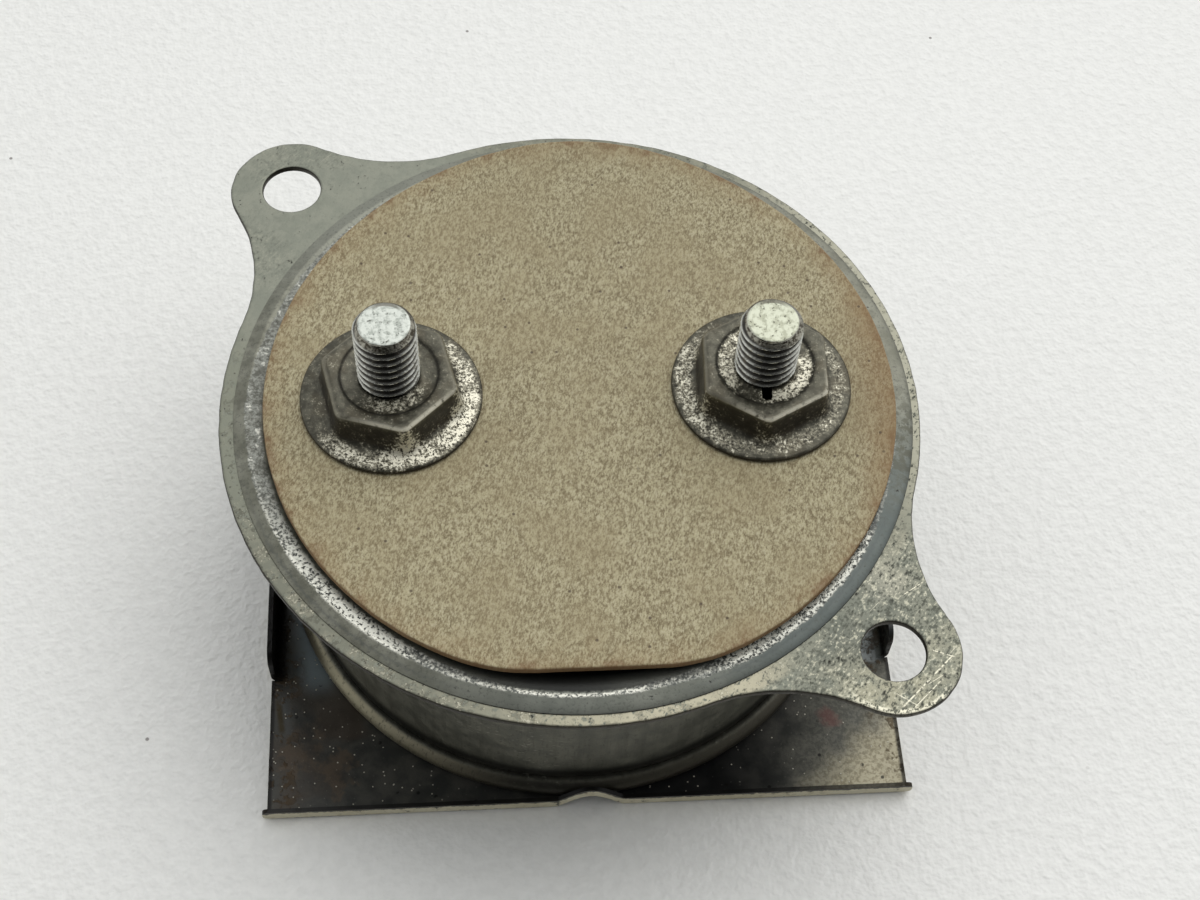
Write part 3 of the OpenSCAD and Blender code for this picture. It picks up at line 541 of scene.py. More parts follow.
def dial_number(bm, number):
    """Adds a plain number beyond the scale, to be read from the front."""
    curve = bpy.data.curves.new("number", "FONT")
    curve.body, curve.size, curve.extrude = str(number), 2.5, 0.05
    curve.align_x, curve.align_y = "CENTER", "CENTER"
    text = bpy.data.objects.new("number", curve)
    bpy.context.scene.collection.objects.link(text)
    mesh = evaluated(text)
    x, y = dial_place(SCALE_R + 1.9, number - SWING / 2)
    mesh.transform(Matrix.Translation((x, y, DIAL_Z)) @ Matrix.Diagonal((-1, 1, 1, 1)))
    bm.from_mesh(mesh)
    bpy.data.curves.remove(curve)
    bpy.data.meshes.remove(mesh)


def dial_scale():
    """Arc, ticks and plain numbers on the dial's face, to be read from the front, which is from below."""
    low, high = DIAL_Z - 0.05, DIAL_Z + 0.05
    bm = bmesh.new()
    for k in range(SWING // 5 + 1):
        turn = k * 5 - SWING / 2
        length, half = tick_size(k)
        corners = [(SCALE_R, -half), (SCALE_R, half), (SCALE_R - length, half), (SCALE_R - length, -half)]
        prism(bm, [dial_place(reach, turn, aside) for reach, aside in corners], low, high)
    turns = [k * 2 - SWING / 2 for k in range(SWING // 2 + 1)]
    outer, inner = ([dial_place(SCALE_R + step, turn) for turn in turns] for step in (0.09, -0.09))
    prism(bm, outer + inner[::-1], low, high)
    for number in (0, 30, 60):
        dial_number(bm, number)
    return finish_mesh("dial_scale", bm, weighted=False)


# Materials
def srgb(r, g, b):
    """Linear colour of an 8-bit sRGB one."""
    return tuple(c / 255 / 12.92 if c <= 10 else ((c / 255 + 0.055) / 1.055) ** 2.4 for c in (r, g, b))


class Field:
    """A number or colour that varies over a surface. Sums and products of fields build the nodes for them."""

    def __init__(self, look, socket):
        self.look, self.socket = look, socket

    def __add__(self, other):
        return self.look.math("ADD", self, other)

    def __sub__(self, other):
        return self.look.math("SUBTRACT", self, other)

    def __rsub__(self, other):
        return self.look.math("SUBTRACT", other, self)

    def __mul__(self, other):
        return self.look.math("MULTIPLY", self, other)

    def __abs__(self):
        return self.look.math("ABSOLUTE", self)

    def step(self, low, high, start=0.0, end=1.0):
        """Smooth step from start to end while the field goes from low to high, which may run downwards."""
        if low > high:
            low, high, start, end = high, low, end, start
        inputs = {"Value": self, "From Min": low, "From Max": high, "To Min": start, "To Max": end}
        return self.look.node("MapRange", inputs, interpolation_type="SMOOTHSTEP")

    def band(self, low, high, soft):
        """One between low and high, with soft ends."""
        return self.step(low - soft, low + soft) * self.step(high + soft, high - soft)

    def around(self, middle, half, soft):
        """One where an angle is within half of a direction, in degrees."""
        off = abs(self.look.math("WRAP", self - middle, 180.0, -180.0))
        return off.step(half + soft, half - soft)

    def coats(self, *layers):
        """A colour with others laid over it in turn. Each layer is a colour and its share."""
        colour = self
        for layer, share in layers:
            colour = self.look.mix(share, colour, layer)
        return colour


class Look:
    """Builds one procedural material. Patterns are placed in the shared frame and sized in millimetres."""

    def __init__(self, name):
        self.material = bpy.data.materials.new(name)
        self.material.use_nodes = True
        self.tree = self.material.node_tree
        self.shader = self.tree.nodes["Principled BSDF"]
        coords = self.tree.nodes.new("ShaderNodeTexCoord").outputs
        self.place = self.vector("MULTIPLY", Field(self, coords["Object"]), (1 / MM, 1 / MM, 1 / MM))
        self.x, self.y, self.z = self.axes(self.place)
        self.nz = self.axes(Field(self, coords["Normal"]))[2]

    def put(self, socket, value):
        """Links a field to a socket, or sets a number or a colour on it."""
        if isinstance(value, Field):
            self.tree.links.new(value.socket, socket)
        elif isinstance(value, tuple) and len(socket.default_value) == 4:
            socket.default_value = (*value, 1)
        else:
            socket.default_value = value

    def node(self, kind, inputs, output=0, **settings):
        """An output of a new node. Inputs and output are given by name or number."""
        node = self.tree.nodes.new("ShaderNode" + kind)
        for name, value in settings.items():
            setattr(node, name, value)
        for name, value in inputs.items():
            self.put(node.inputs[name], value)
        return Field(self, node.outputs[output])

    def vector(self, kind, a, b):
        return self.node("VectorMath", {0: a, 1: b}, operation=kind)

    def math(self, kind, a, b=0.0, c=0.0, clamp=False):
        return self.node("Math", {0: a, 1: b, 2: c}, operation=kind, use_clamp=clamp)

    def most(self, *values):
        """The largest of the values."""
        total = values[0]
        for value in values[1:]:
            total = self.math("MAXIMUM", total, value)
        return total

    def mix(self, share, a, b):
        """Two colours mixed. A plain colour is given in 8-bit sRGB."""
        a, b = (colour if isinstance(colour, Field) else srgb(*colour) for colour in (a, b))
        return self.node("Mix", {"Factor": share, "A": a, "B": b}, "Result", data_type="RGBA")

    def axes(self, vector):
        """The three parts of a vector."""
        node = self.tree.nodes.new("ShaderNodeSeparateXYZ")
        self.put(node.inputs[0], vector)
        return [Field(self, part) for part in node.outputs]

    def polar(self, centre=(0, 0)):
        """Distance from an upright axis, and the angle about it in degrees."""
        x, y, _ = self.axes(self.vector("SUBTRACT", self.place, (*centre, 0)))
        return self.math("SQRT", x * x + y * y), self.math("ARCTAN2", y, x) * (180 / math.pi)

    def stretched(self, scale, turn=0.0):
        """The place turned about Z and scaled by axis, for grain and scratches."""
        inputs = {"Vector": self.place, "Angle": math.radians(turn)}
        return self.vector("MULTIPLY", self.node("VectorRotate", inputs, rotation_type="Z_AXIS"), scale)

    def moved(self, vector, seed):
        """The vector moved by an offset of its own, so that no two patterns are alike."""
        return self.vector("ADD", vector, (seed * 7.31, seed * -3.17, seed * 5.83))

    def noise(self, size, detail=2.0, rough=0.5, seed=0.0, vector=None):
        """Noise from 0 to 1, mostly round 0.5, with features of the given size."""
        inputs = {"Vector": self.moved(vector or self.place, seed), "Scale": 1 / size, "Detail": detail}
        return self.node("TexNoise", {**inputs, "Roughness": rough})

    def spots(self, size, reach, seed, share):
        """Round spots seen from above, on a random grid. Only a share of the cells has one."""
        inputs = {"Vector": self.moved(self.place, seed), "Scale": 1 / size}
        distance = self.node("TexVoronoi", inputs, voronoi_dimensions="2D")
        pick = self.axes(Field(self, distance.socket.node.outputs["Color"]))[0]
        return distance.step(reach, reach * 0.5) * pick.step(share + 0.01, share - 0.01)

    def stain(self, centre, reach, soft, uneven, seed):
        """One inside a stain seen from above, whose edge wanders by uneven millimetres."""
        wander = self.noise(1.3, 3, 0.65, seed=seed).step(0.3, 0.7, -uneven, uneven)
        return (self.polar(centre)[0] + wander).step(reach + soft, reach - soft)

    def stroke(self, start, end, half, soft=0.0):
        """One along a straight line between two points seen from above, half a width wide to each side."""
        run = Vector(end) - Vector(start)
        way = run.normalized()
        x, y, _ = self.axes(self.vector("SUBTRACT", self.place, (*start, 0)))
        across = abs(y * way.x - x * way.y).step(half + soft, half * 0.4)
        return across * (x * way.x + y * way.y).band(0, run.length, 0.15 + soft)

    def done(self, colour, rough, metal, height):
        """Sets the finish; height is in millimetres."""
        bump = self.node("Bump", {"Distance": MM, "Strength": 1.0, "Height": height})
        finish = {"Base Color": colour, "Roughness": rough, "Metallic": metal, "Normal": bump}
        for name, value in finish.items():
            self.put(self.shader.inputs[name], value)
        return self.material


def zinc_flange(look, broad, mottle, texture, worn, pits):
    """Flange and ears, creamy below and to the right of the right ear's hole and darker beyond it."""
    radius, angle = look.polar((-EAR_X, EAR_X))
    patches = mottle.step(0.35, 0.65)
    creamy = look.most(angle.around(-100, 60, 40) * radius.step(8, 4.5),
                       angle.around(0, 30, 40) * radius.step(6, 5) * 0.6)
    oxide = angle.around(140, 60, 40) * radius.step(9, 5) * broad.step(0.3, 0.5)
    return look.mix(patches, (123, 126, 114), (138, 140, 127)).coats(
        (look.mix(patches, (98, 101, 90), (126, 127, 113)), worn * 0.7),
        ((170, 166, 143), creamy * mottle.step(0.28, 0.6) * 0.65),
        ((178, 175, 157), look.stain((22.6, -16.4), 1.6, 1.2, 0.8, seed=6) * 0.6),
        ((78, 82, 76), oxide * 0.4),
        ((70, 72, 63), texture.step(0.49, 0.42) * (worn * 0.75 + 0.1)),
        ((194, 191, 170), texture.step(0.54, 0.6) * worn * 0.7),
        ((40, 38, 33), pits * 0.85))


def zinc_ring(look, angle, mottle, grain, chips):
    """The narrow ring between the cover's and the flange's edge is brighter, and creamy at the front."""
    return look.mix(mottle.step(0.4, 0.62), (112, 113, 100), (138, 137, 121)).coats(
        ((180, 174, 151), angle.around(-70, 30, 18) * 0.75),
        ((127, 130, 116), angle.around(178, 24, 16) * 0.7),
        ((172, 170, 152), angle.around(14, 34, 16) * 0.65),
        ((206, 202, 182), chips * 0.6),
        ((84, 84, 73), grain.step(0.48, 0.36) * (angle.around(-140, 34, 20) * 0.3 + 0.4)),
        ((98, 98, 86), mottle.step(0.52, 0.66) * angle.around(-146, 30, 20) * 0.5),
        ((62, 60, 52), look.spots(0.8, 0.13, seed=9, share=0.4) * 0.7))


def zinc_scratches(look, speckle, texture, worn):
    """A few fine ones anywhere, long ones beside the right ear's hole, and that ear's rubbed rim."""
    radius, angle = look.polar((-EAR_X, EAR_X))
    fine = look.noise(1, 1, seed=8, vector=look.stretched((0.3, 9, 1), -44)).step(0.69, 0.74)
    fine = fine * look.noise(3, 1, seed=28).step(0.5, 0.58) * worn * 0.7
    long = look.most(*(look.stroke(*scratch) for scratch in EAR_SCRATCHES)) * speckle.step(0.36, 0.5)
    rim = radius.step(4.55, 4.75) * angle.around(-88, 44, 16) * 0.9 * texture.step(0.47, 0.51)
    return look.most(fine, long, rim)


def zinc_wall(look, radius, angle, broad, mottle, texture):
    """Can's wall, darkened above its rolled bead as painted shade; the bead is pale at the left as a painted
    highlight and black at the front as painted shade.
    """
    # the bead's pale left is a painted highlight and its black front is painted shade
    bead = look.mix(angle.around(-142, 22, 22), (62, 58, 47), (166, 159, 133)).coats(
        ((56, 52, 42), texture.step(0.47, 0.4) * 0.4),
        ((14, 14, 12), angle.around(-96, 10, 16) * 0.8))
    streaks = look.noise(1, 2, 0.6, seed=12, vector=look.stretched((1.6, 1.6, 0.12)))
    marks = look.noise(0.5, 2, seed=13, vector=look.stretched((1, 1, 3))).step(0.62, 0.7)
    return look.mix(mottle.step(0.3, 0.7), (98, 98, 88), (120, 119, 107)).coats(
        ((70, 68, 60), streaks.step(0.52, 0.34) * 0.25),
        ((60, 57, 50), texture.step(0.48, 0.4) * 0.3),
        ((176, 174, 160), marks * broad.step(0.48, 0.62) * 0.6),
        # painted shade on the wall just above the bead
        ((24, 23, 20), look.z.band(2.1, 3.5, 0.7) * radius.step(23.6, 23.2) * 0.9),
        (bead, radius.step(23.3, 23.7) * 0.9))


def zinc_look():
    """Zinc-plated steel of the case: smooth grey-green at the left, speckled and scratched at the right."""
    look = Look("worn_zinc")
    radius, angle = look.polar()
    broad, mottle = look.noise(8, 1, seed=1), look.noise(1.5, 3, 0.6, seed=2)
    grain, speckle = look.noise(0.5, 2, 0.6, seed=3), look.noise(0.2, 1, seed=4)
    dashes = look.noise(1, 2, 0.6, seed=5, vector=look.stretched((5.5, 2.4, 1), 35))
    texture = grain * 0.3 + speckle * 0.25 + dashes * 0.45
    worn = look.math("ADD", look.x.step(-2, 20), broad.step(0.35, 0.65, -0.2, 0.2), clamp=True)
    pits = texture.step(0.38, 0.34) * mottle.step(0.42, 0.55)
    ear = look.most(angle.around(135, 30, 8), angle.around(-45, 14, 6))
    ring = radius.step(26.1, 26.25) * radius.step(28.3, 27.7) * (1 - ear)
    chips = (speckle * 0.5 + mottle * 0.5).step(0.56, 0.62) * angle.around(-96, 66, 20)
    scratch = zinc_scratches(look, speckle, texture, worn) * radius.step(26.7, 28)
    # upright faces: the can's wall, and the sheet's cut edges
    wall = look.z.step(21.5, 21.2)
    cut = abs(look.nz).step(0.86, 0.7) * (1 - wall)
    colour = zinc_flange(look, broad, mottle, texture, worn, pits).coats(
        (zinc_ring(look, angle, mottle, grain, chips), ring * (1 - pits) * texture.step(0.4, 0.46)),
        ((230, 226, 204), scratch * 0.9),
        (zinc_wall(look, radius, angle, broad, mottle, texture), wall),
        ((42, 37, 30), cut * 0.92))
    height = texture * 0.02 + pits * -0.05 + chips * ring * 0.02 + scratch * 0.02
    return look.done(colour, mottle.step(0.3, 0.7, 0.42, 0.54), 0.6, height)


def cover_sheet(look, angle, mottle, grain, blotch, front, dull, pits):
    """Smooth sheet, bluish at the right, olive behind that and blotched where it is dull."""
    return look.mix(mottle.step(0.35, 0.65), (114, 114, 101), (134, 134, 121)).coats(
        ((138, 140, 129), angle.around(128, 22, 18) * 0.7),
        ((84, 84, 74), dull * blotch.step(0.54, 0.4) * 0.4),
        ((80, 90, 91), angle.around(-40, 30, 16) * 0.75),
        ((80, 79, 66), angle.around(-10, 10, 10) * blotch.step(0.58, 0.42) * 0.75),
        ((106, 112, 109), front * 0.5),
        ((78, 80, 74), grain.step(0.46, 0.34) * 0.4),
        ((48, 38, 34), pits * 0.85))


def cover_look():
    """Cover sheet: smooth grey rim, a crest rubbed bright and pitted, lit further by a painted highlight, and
    a hollow at the front darkened as painted shade.
    """
    look = Look("cover_zinc")
    radius, angle = look.polar()
    mottle, grain = look.noise(2.2, 3, 0.6, seed=21), look.noise(0.24, 2, 0.65, seed=22)
    blotch = look.noise(0.7, 3, 0.65, seed=25)
    front, right = angle.around(-94, 20, 20), angle.around(-49, 22, 10)
    lower_left, upper_left = angle.around(-138, 22, 18), angle.around(146, 22, 14)
    rear, left = angle.around(60, 50, 20), angle.around(176, 30, 16)
    pits = grain.step(0.3, 0.26) * mottle.step(0.5, 0.56)
    pattern, coarse = grain * 0.65 + mottle * 0.35, blotch * 0.6 + grain * 0.4
    # the rubbed band is wear brightened by a painted highlight; it is widest at the right and narrowed as
    # painted shade at the front, where the disc shades the sheet
    ragged = radius + look.noise(0.4, 3, seed=24).step(0.3, 0.7, -0.08, 0.08)
    inner = right * 0.3 + front * 0.98 + 24.15
    outer = right * 0.32 + lower_left * -0.12 + upper_left * -0.45 + rear * -0.5 + 25.4
    band = (ragged - inner).step(-0.12, 0.12) * (ragged - outer).step(0.07, -0.07)
    share = look.most(right * 0.18, front * 0.17, lower_left * 0.22)
    rubbed = look.most(band * (pattern + share).step(0.6, 0.72) * (1 - left),
                       band * coarse.step(0.56, 0.63) * look.most(left, upper_left) * 0.8)
    black = band * look.most(right, lower_left) * grain.step(0.44, 0.38)
    # crest rubbed bright with a painted highlight, the strip outside it in painted shade, the hollow inside
    # it darkened as painted shade, and the dark edge
    fine = radius + (grain - 0.5) * 0.3
    crest = fine.band(25.14, 25.4, 0.08) * pattern.step(0.46, 0.54) * look.most(front, lower_left * 0.7)
    shaded = ragged.band(25.9, 26.1, 0.12) * look.most(right, lower_left)
    hollow = look.most(fine.step(25.14, 24.86) * front, radius.step(23.9, 23.6))
    edge = radius.step(26.45, 26.56) * look.nz.step(0.95, 0.8)
    dull = look.most(left, lower_left)
    colour = cover_sheet(look, angle, mottle, grain, blotch, front, dull, pits).coats(
        (look.mix(pattern.step(0.4, 0.56), (86, 89, 85), (156, 158, 150)), band * 0.8),
        (look.mix(coarse.step(0.42, 0.56), (84, 84, 74), (136, 138, 130)), band * left * 0.8),
        # rubbed band: wear, brightened by a painted highlight
        ((222, 222, 210), rubbed * 0.88),
        ((52, 54, 50), black * 0.8),
        # painted highlight on the crest, and painted shade outside it and in the hollow
        ((232, 231, 218), crest * 0.9),
        ((76, 80, 80), shaded * 0.4),
        ((14, 14, 14), hollow * 0.94),
        ((30, 30, 28), edge * 0.9))
    height = grain * 0.01 + pits * -0.05 + rubbed * 0.03
    return look.done(colour, rubbed.step(0, 1, 0.46, 0.36), band.step(0, 1, 0.6, 0.3), height)


def fibre_look():
    """Vulcanised fibre board: tan, with short fibres, small dark flecks and a narrow browner edge."""
    look = Look("fibre_board")
    fibre = look.noise(1, 3, 0.7, seed=31, vector=look.stretched((3.6, 2.0, 1)))
    hair = look.noise(1, 2, 0.65, seed=32, vector=look.stretched((8, 3.6, 1), 18))
    # browner towards the edge, all round and along the straight front side
    inward = look.math("MINIMUM", DISC_R - look.polar((DISC_X, 0))[0], look.y + DISC_FLAT)
    ragged = inward + look.noise(1.6, 3, 0.6, seed=34).step(0.25, 0.75, -0.8, 0.8)
    colour = look.mix(fibre.step(0.37, 0.63), (134, 122, 90), (179, 170, 137)).coats(
        ((196, 188, 158), hair.step(0.52, 0.64) * 0.6),
        ((100, 86, 58), hair.step(0.47, 0.36) * 0.62),
        ((152, 138, 104), look.noise(5, 2, 0.55, seed=33).step(0.4, 0.68) * 0.35),
        ((140, 112, 72), ragged.step(2.6, 0.0, 0, 0.26)),
        ((112, 78, 44), ragged.step(0.5, -0.5, 0, 0.55)),
        ((132, 100, 60), look.x.step(20.5, 24.5, 0, 0.4)),
        ((70, 54, 40), look.spots(1.9, 0.08, seed=35, share=0.12) * 0.75),
        ((128, 96, 60), abs(look.nz).step(0.7, 0.4) * 0.8))
    return look.done(colour, fibre.step(0.3, 0.7, 0.66, 0.82), 0.0, fibre * 0.035 + hair * 0.025)


def chamfer_colour(look, radius, angle, mottled):
    """Mottled chamfer, black at the rear and bright at its inner rim."""
    return look.mix(mottled, (76, 71, 60), (166, 163, 149)).coats(
        ((40, 36, 31), angle.around(80, 60, 30) * 0.8),
        ((214, 212, 200), radius.band(STUD_R - 0.5, STUD_R - 0.44, 0.03) * 0.5))


def steel_look(name, x, end, dark, light):
    """Plated screw: lumpy flat end from dark to light, bright thread crests, dark chamfer, and thread roots
    darkened as painted shade.
    """
    look = Look(name)
    radius, angle = look.polar((x, 0))
    seed = 40 + x / 10
    grain, fine = look.noise(0.5, 3, 0.65, seed=seed), look.noise(0.16, 2, 0.6, seed=seed + 1)
    top = look.z.step(end - 0.12, end - 0.03) * look.nz.step(0.7, 0.9)
    side = 1 - top
    chamfer = chamfer_colour(look, radius, angle, (grain * 0.6 + fine * 0.4).step(0.42, 0.56))
    pits = fine.step(0.6, 0.66) * grain.step(0.5, 0.44)
    worn = angle.around(85, 35, 20) * radius.step(STUD_R - 0.85, STUD_R - 0.7) * 0.8
    face = look.mix(grain.step(0.38, 0.58), dark, light).coats(((96, 91, 79), look.most(pits * 0.8, worn)))
    colour = look.mix(grain.step(0.35, 0.65), (184, 184, 174), (220, 220, 211)).coats(
        # painted shade in the thread's roots
        ((38, 35, 30), radius.step(STUD_R - 0.03, STUD_R - 0.19) * side * 0.95),
        ((84, 79, 67), grain.step(0.54, 0.64) * side * 0.6),
        (chamfer, look.z.step(end - 0.5, end - 0.42) * side * 0.95),
        (face, top))
    height = grain * 0.04 + fine * 0.01 + top * pits * -0.05
    return look.done(colour, top.step(0, 1, 0.24, 0.5), top.step(0, 1, 0.95, 0.4), height)


def nut_wear(look, radius, angle, rise, places):
    """How much the nut is worn, from the strongest of its worn places."""
    amount = 0.0
    for direction, half, inner, outer, lowest, strength in places:
        here = angle.around(direction, half, 22) * radius.band(inner, outer, 0.35) * strength
        amount = look.most(here * rise.step(lowest - 0.15, lowest + 0.15), amount)
    return amount


def nut_look(name, x, places):
    """Dark phosphated sheet with bright pitted wear."""
    look = Look(name)
    radius, angle = look.polar((x, 0))
    seed = 50 + x / 10
    broad, mottle = look.noise(2.2, 1, seed=seed), look.noise(0.6, 3, 0.65, seed=seed + 1)
    pitted = look.noise(0.2, 2, 0.7, seed=seed + 2)
    rise = look.z - NUT_Z
    amount = nut_wear(look, radius, angle, rise, places)
    pattern = pitted * 0.6 + mottle * 0.4
    level = pattern + amount * 0.2 + broad * 0.12
    rubbed = level.step(0.71, 0.77)
    pits = pitted.step(0.41, 0.36) * amount.step(0.35, 0.7)
    # edge round the hexagon's top, lighter all round as wear, and at the front a glint that is a painted
    # highlight, also in roughness and metalness
    edge = radius.step(4.2, 4.4)
    ridge = rise.band(3.1, 3.36, 0.05) * edge
    glint = rise.band(3.14, 3.34, 0.05) * edge * angle.around(-72, 48, 24) * mottle.step(0.34, 0.46)
    ring = radius.band(NUT_RING_R - 0.22, NUT_RING_R - 0.02, 0.03) * rise.step(2.8, 3)
    rim = radius.step(SKIRT_R - 0.16, SKIRT_R - 0.04) * rise.step(0.45, 0.3)
    # three steps of wear: dulled, rubbed to a soft grey, and bright with dark pits
    colour = look.mix(mottle.step(0.35, 0.65), (68, 66, 56), (94, 92, 80)).coats(
        ((84, 77, 61), broad.step(0.5, 0.65) * 0.4),
        ((42, 37, 30), rise.band(0.9, 2.9, 0.2) * 0.7),
        ((132, 128, 112), level.step(0.58, 0.72) * 0.6),
        ((168, 163, 143), look.most(level.step(0.66, 0.74) * 0.8, ridge * 0.32)),
        # painted highlight at the hexagon's front edge
        ((222, 217, 197), glint * 0.85),
        ((226, 222, 203), rubbed * 0.9),
        ((44, 40, 33), pits * 0.8),
        ((38, 36, 31), ring * (1 - rubbed) * 0.6),
        ((40, 33, 27), rim * 0.75))
    height = mottle * 0.03 + pitted * 0.015 + rubbed * 0.03 + pits * -0.04
    rough = pattern.step(0.35, 0.65, 0.36, 0.5) + glint * -0.12
    return look.done(colour, rough, glint.step(0, 1, 0.65, 0.2), height)


def oxide_colour(look, mottle, broad):
    """Dark sheet with brown and olive stains and a painted bluish sheen at the left, and painted shade,
    nearly black, at the right of its middle.
    """
    brown = look.most(*(look.stain(centre, reach, 0.5, 0.9, seed=67) for centre, reach in BROWN_STAINS))
    olive = look.stroke((-24.8, -14.4), (-24.4, -17.4), 0.2, 0.2) * mottle.step(0.38, 0.5)
    return look.mix(mottle.step(0.35, 0.65), (53, 54, 52), (72, 71, 66)).coats(
        ((70, 60, 50), broad.step(0.48, 0.62) * look.x.step(-8, -16) * 0.6),
        # painted sheen: a bluish reflection on the sheet at the left
        ((124, 136, 140), look.stroke((-22.9, -3), (-21.4, -13.4), 0.7, 1.4) * 0.75),
        ((88, 75, 61), brown * mottle.step(0.34, 0.54) * 0.6),
        ((84, 87, 87), look.stroke((-24.6, -14), (-24.0, -18), 0.3, 0.7) * 0.5),
        ((54, 44, 16), olive * 0.85),
        # painted shade at the right of the plate's middle
        ((13, 14, 17), look.x.band(2, 15, 4) * 0.88))


def plate_back_look():
    """Back of the dial plate: blue-black oxide with brown stains, bright specks and a pale right corner that
    is partly painted reflection.
    """
    look = Look("plate_back")
    mottle, broad = look.noise(2.2, 4, 0.6, seed=61), look.noise(7, 2, 0.6, seed=62)
    grain = look.noise(0.3, 2, 0.65, seed=63)
    # towards the front right corner the oxide turns bare grey and then pale, partly bare sheet and partly
    # painted reflection
    uneven = broad.step(0.3, 0.7, -1.6, 1.6) + mottle.step(0.3, 0.7, -1, 1)
    bare = look.mix(grain.step(0.4, 0.62), (82, 82, 75), (104, 103, 94))
    pale = (look.x * 0.75 + look.y * -0.66 + uneven * 0.5).step(29, 33.2)
    sides = look.most((look.x + look.y * 0.2).step(20.2, 22), look.x.step(-22, -24.5))
    rust = look.noise(1.1, 3, 0.7, seed=64).step(0.5, 0.6) * sides
    # bright dust and small dark holes on the level sheet
    level = look.z.step(0.8, 0.5)
    dots = look.spots(0.75, 0.11, seed=65, share=0.4) * mottle.step(0.5, 0.57, 0.04, 1)
    specks = look.most(dots, look.spots(0.8, 0.1, seed=75, share=0.3) * look.x.step(-8, -14)) * level
    holes = look.spots(1.6, 0.12, seed=66, share=0.35) * mottle.step(0.5, 0.44) * level
    # painted shadow of the side lip on the sheet beside it
    lip_shadow = look.x.step(-23.7, -24.5) * abs(look.y).step(13.2, 12.2)
    lips = look.most(look.z.step(0.5, 0.9), abs(look.x - PLATE_SHIFT).step(25.7, 25.95))
    colour = oxide_colour(look, mottle, broad).coats(
        (bare, (look.x + uneven).step(15.5, 23) * 0.85),
        # pale patch: bare sheet and painted reflection
        (look.mix(grain.step(0.36, 0.6), (150, 142, 118), (186, 179, 154)), pale * 0.85),
        ((134, 140, 140), look.stain((25.4, -11.4), 1.6, 0.4, 0.3, seed=68) * 0.8),
        ((84, 66, 42), rust * 0.6),
        ((110, 66, 62), look.stain((21.2, -18), 0.7, 0.5, 0.4, seed=69) * 0.5),
        ((208, 204, 188), specks * 0.9),
        ((14, 12, 11), holes * 0.85),
        # painted shadow beside the side lip
        ((11, 10, 10), lip_shadow * 0.9),
        ((16, 15, 14), lips * 0.85))
    look.put(look.shader.inputs["Specular IOR Level"], 0.25)
    rough = mottle.step(0.3, 0.7, 0.28, 0.44) + rust * 0.25 + pale * 0.1
    return look.done(colour, rough, 0.3, grain * 0.01 + specks * 0.05 + rust * 0.03)


def arch_lift(look):
    """Height of the front lip's arch above the lip beside it."""
    off = look.math("DIVIDE", abs(look.x - PLATE_SHIFT), ARCH_W / 2)
    off = look.math("MINIMUM", off, 1.0)
    wave = off.step(0, 1, ARCH_H * (1 - ARCH_ROUND), 0)
    return (wave + (1 - off * off) * (ARCH_H * ARCH_ROUND)) * look.y.step(-20, -22)


def dial_look():
    """Cream enamel of the dial's front and of the lips' outer faces, chipped to dark sheet here and there."""
    look = Look("dial_enamel")
    fine, ragged = look.noise(0.3, 2, 0.6, seed=72), look.noise(0.7, 3, 0.7, seed=73)
    # the lips' upper edge is chipped all along, over the arch too, and the arch's left foot is cracked
    outer = abs(look.y).step(24.2, 24.4)
    level = look.z - arch_lift(look) + (ragged - 0.5) * 0.7
    foot = PLATE_SHIFT - ARCH_W / 2
    crack = look.x.band(foot - 0.1, foot + 0.15, 0.1) * look.y.step(-24, -24.3) * fine.step(0.4, 0.5)
    rims = outer * look.most(level.step(0.84, 0.94), level.step(0.0, -0.08))
    chips = look.most(ragged.step(0.66, 0.69), rims, crack)
    colour = look.mix(look.noise(4, 2, seed=71).step(0.35, 0.65), (204, 196, 166), (218, 211, 184)).coats(
        ((158, 146, 116), ragged.step(0.52, 0.62) * 0.3),
        ((30, 26, 22), chips * 0.95))
    return look.done(colour, fine.step(0.3, 0.7, 0.34, 0.46), 0.0, fine * 0.006 + chips * -0.03)


def metal_look(name, dark, light, rough, seed):
    """Turned or pressed metal of the movement, with fine grain, tarnish and small stains."""
    look = Look(name)
    grain, cloud = look.noise(0.25, 4, 0.6, seed=seed), look.noise(1.8, 4, 0.6, seed=seed + 1)
    brushed = look.noise(1, 2, 0.5, seed=seed + 2, vector=look.stretched((0.6, 9, 4)))
    spots = look.noise(0.6, 4, 0.7, seed=seed + 3).step(0.6, 0.72)
    colour = look.mix(cloud.step(0.35, 0.65), dark, light).coats(([c * 0.55 for c in dark], spots * 0.5))
    dull = (grain + spots * 0.3).step(0.3, 0.8, rough, rough + 0.16)
    return look.done(colour, dull, 1.0, grain * 0.008 + brushed * 0.006)


def covered_look(name, dark, light, seed, cell=0.18):
    """Cotton-covered or lacquered wire and fibre sleeving, with a fine woven relief."""
    look = Look(name)
    weave, cloud = look.noise(cell, 2, 0.5, seed=seed), look.noise(1.6, 3, 0.6, seed=seed + 1)
    colour = look.mix((weave * 0.6 + cloud * 0.4).step(0.38, 0.62), dark, light)
    return look.done(colour, weave.step(0.3, 0.7, 0.6, 0.8), 0.0, weave * 0.04)


def desk_look():
    """Pale lightly textured desk with a few dark specks."""
    look = Look("desk")
    soft, grain = look.noise(0.7, 1, 0.5, seed=91), look.noise(0.3, 1, seed=92)
    specks = look.spots(23, 0.009, seed=93, share=0.4)
    colour = look.mix(soft.step(0.3, 0.7), (236, 236, 232), (241, 241, 237))
    colour = colour.coats(((104, 96, 92), specks * 0.8))
    return look.done(colour, 0.42, 0.0, soft * 0.12 + grain * 0.03)


def paint(piece, *materials):
    """Gives a piece its materials."""
    piece.data.materials.clear()
    for material in materials:
        piece.data.materials.append(material)


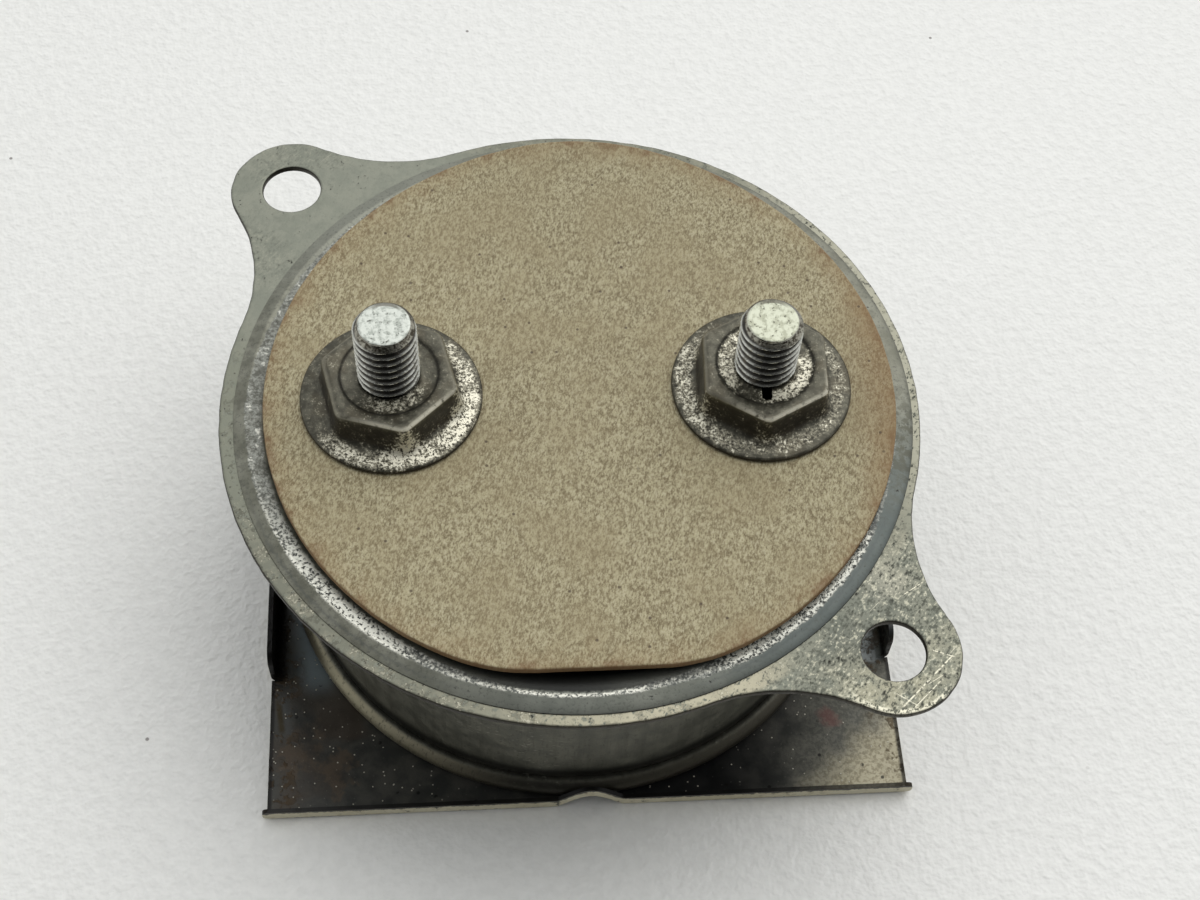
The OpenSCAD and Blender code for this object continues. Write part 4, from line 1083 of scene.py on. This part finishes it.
# Desk and light
def stage():
    """The desk, a little below the plate's lips."""
    half, height = 3000, -0.25
    bm = bmesh.new()
    corners = ((-half, -half), (half, -half), (half, half), (-half, half))
    bm.faces.new([bm.verts.new((x, y, height)) for x, y in corners])
    bmesh.ops.scale(bm, vec=(MM, MM, MM), verts=bm.verts)
    floor = new_object("floor", bm)
    paint(floor, desk_look())


def sky():
    """An even sky with one darker side, where the viewer stands."""
    strength, dark_side = 0.86, (-0.06, -0.93, 0.36)
    world = bpy.data.worlds.new("studio")
    world.use_nodes = True
    nodes, links = world.node_tree.nodes, world.node_tree.links
    background = nodes["Background"]
    background.inputs["Color"].default_value = (0.97, 0.985, 1, 1)
    coords, toward, shade = (nodes.new(kind) for kind in (
        "ShaderNodeTexCoord", "ShaderNodeVectorMath", "ShaderNodeMapRange"))
    toward.operation = "DOT_PRODUCT"
    toward.inputs[1].default_value = Vector(dark_side).normalized()
    shade.interpolation_type = "SMOOTHSTEP"
    reach = {"From Min": 0.3, "From Max": 0.85, "To Min": strength, "To Max": strength * 0.08}
    for key, number in reach.items():
        shade.inputs[key].default_value = number
    links.new(coords.outputs["Generated"], toward.inputs[0])
    links.new(toward.outputs["Value"], shade.inputs["Value"])
    links.new(shade.outputs["Result"], background.inputs["Strength"])
    bpy.context.scene.world = world


def lights():
    """The sky, and a broad window light from behind and to the right."""
    sky()
    towards_window = Vector((0.42, 0.5, 1.0))
    sun = bpy.data.lights.new("window", "SUN")
    sun.energy, sun.angle, sun.color = 1.2, math.radians(60), (1, 0.99, 0.97)
    light = bpy.data.objects.new("window", sun)
    bpy.context.scene.collection.objects.link(light)
    light.rotation_mode = "QUATERNION"
    light.rotation_quaternion = towards_window.to_track_quat("Z", "Y")
    bpy.context.scene.view_settings.view_transform = "Standard"


def finish_inner_nodes():
    """Gives the CAD nodes that stay their materials, by the name of their slot."""
    finishes = {
        "brass": metal_look("old_brass", (150, 118, 62), (190, 156, 88), 0.28, 101),
        "bimetal": metal_look("bimetal_strip", (128, 92, 58), (160, 122, 84), 0.3, 111),
        "frame_steel": metal_look("frame_steel", (140, 138, 130), (176, 174, 166), 0.32, 121),
        "bright_steel": metal_look("axle_steel", (170, 171, 170), (205, 206, 204), 0.22, 131),
        "vulcan_fibre": covered_look("bush_fibre", (92, 60, 42), (122, 84, 60), 141, 0.4),
        "red_lead": covered_look("red_lead", (110, 30, 24), (146, 48, 36), 151),
        "black_lead": covered_look("black_lead", (26, 26, 27), (48, 47, 46), 161),
        "sleeve_fibre": covered_look("sleeve_paper", (196, 184, 150), (220, 210, 180), 171, 0.3),
        "covered_wire": covered_look("covered_wire", (150, 134, 92), (186, 170, 124), 181, 0.12),
        "pointer_paint": covered_look("pointer_paint", (168, 52, 26), (190, 66, 34), 191, 0.3),
    }
    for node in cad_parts.values():
        if not node.hide_render:
            for slot in node.material_slots:
                slot.material = finishes[slot.material.name.split(".")[0]]


make_camera()
lights()
stage()

case = case_piece()
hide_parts("case")
cover = cover_piece()
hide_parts("back_cover")
disc = disc_piece()
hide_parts("insulating_disc")
left_screw = stud_piece("screw_left", LEFT_X, LEFT_END, phase=0.1)
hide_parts("stud_left")
right_screw = stud_piece("screw_right", RIGHT_X, RIGHT_END, phase=0.35)
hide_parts("stud_right")
left_nut = nut_piece("pressed_nut_left", LEFT_X, turn=-77, slot_turn=100)
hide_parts("nut_left")
right_nut = nut_piece("pressed_nut_right", RIGHT_X, turn=-92.5, slot_turn=-92.5)
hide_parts("nut_right")
plate = plate_piece()
scale = dial_scale()

paint(case, zinc_look())
paint(cover, cover_look())
paint(disc, fibre_look())
paint(left_screw, steel_look("steel_left", LEFT_X, LEFT_END, (172, 177, 168), (214, 218, 209)))
paint(right_screw, steel_look("steel_right", RIGHT_X, RIGHT_END, (178, 180, 158), (210, 213, 192)))
paint(left_nut, nut_look("nut_left", LEFT_X, LEFT_WEAR))
paint(right_nut, nut_look("nut_right", RIGHT_X, RIGHT_WEAR))
paint(plate, plate_back_look(), dial_look())
plate_faces(plate)
paint(scale, covered_look("scale_paint", (24, 22, 20), (44, 41, 37), 75, 0.3))
finish_inner_nodes()
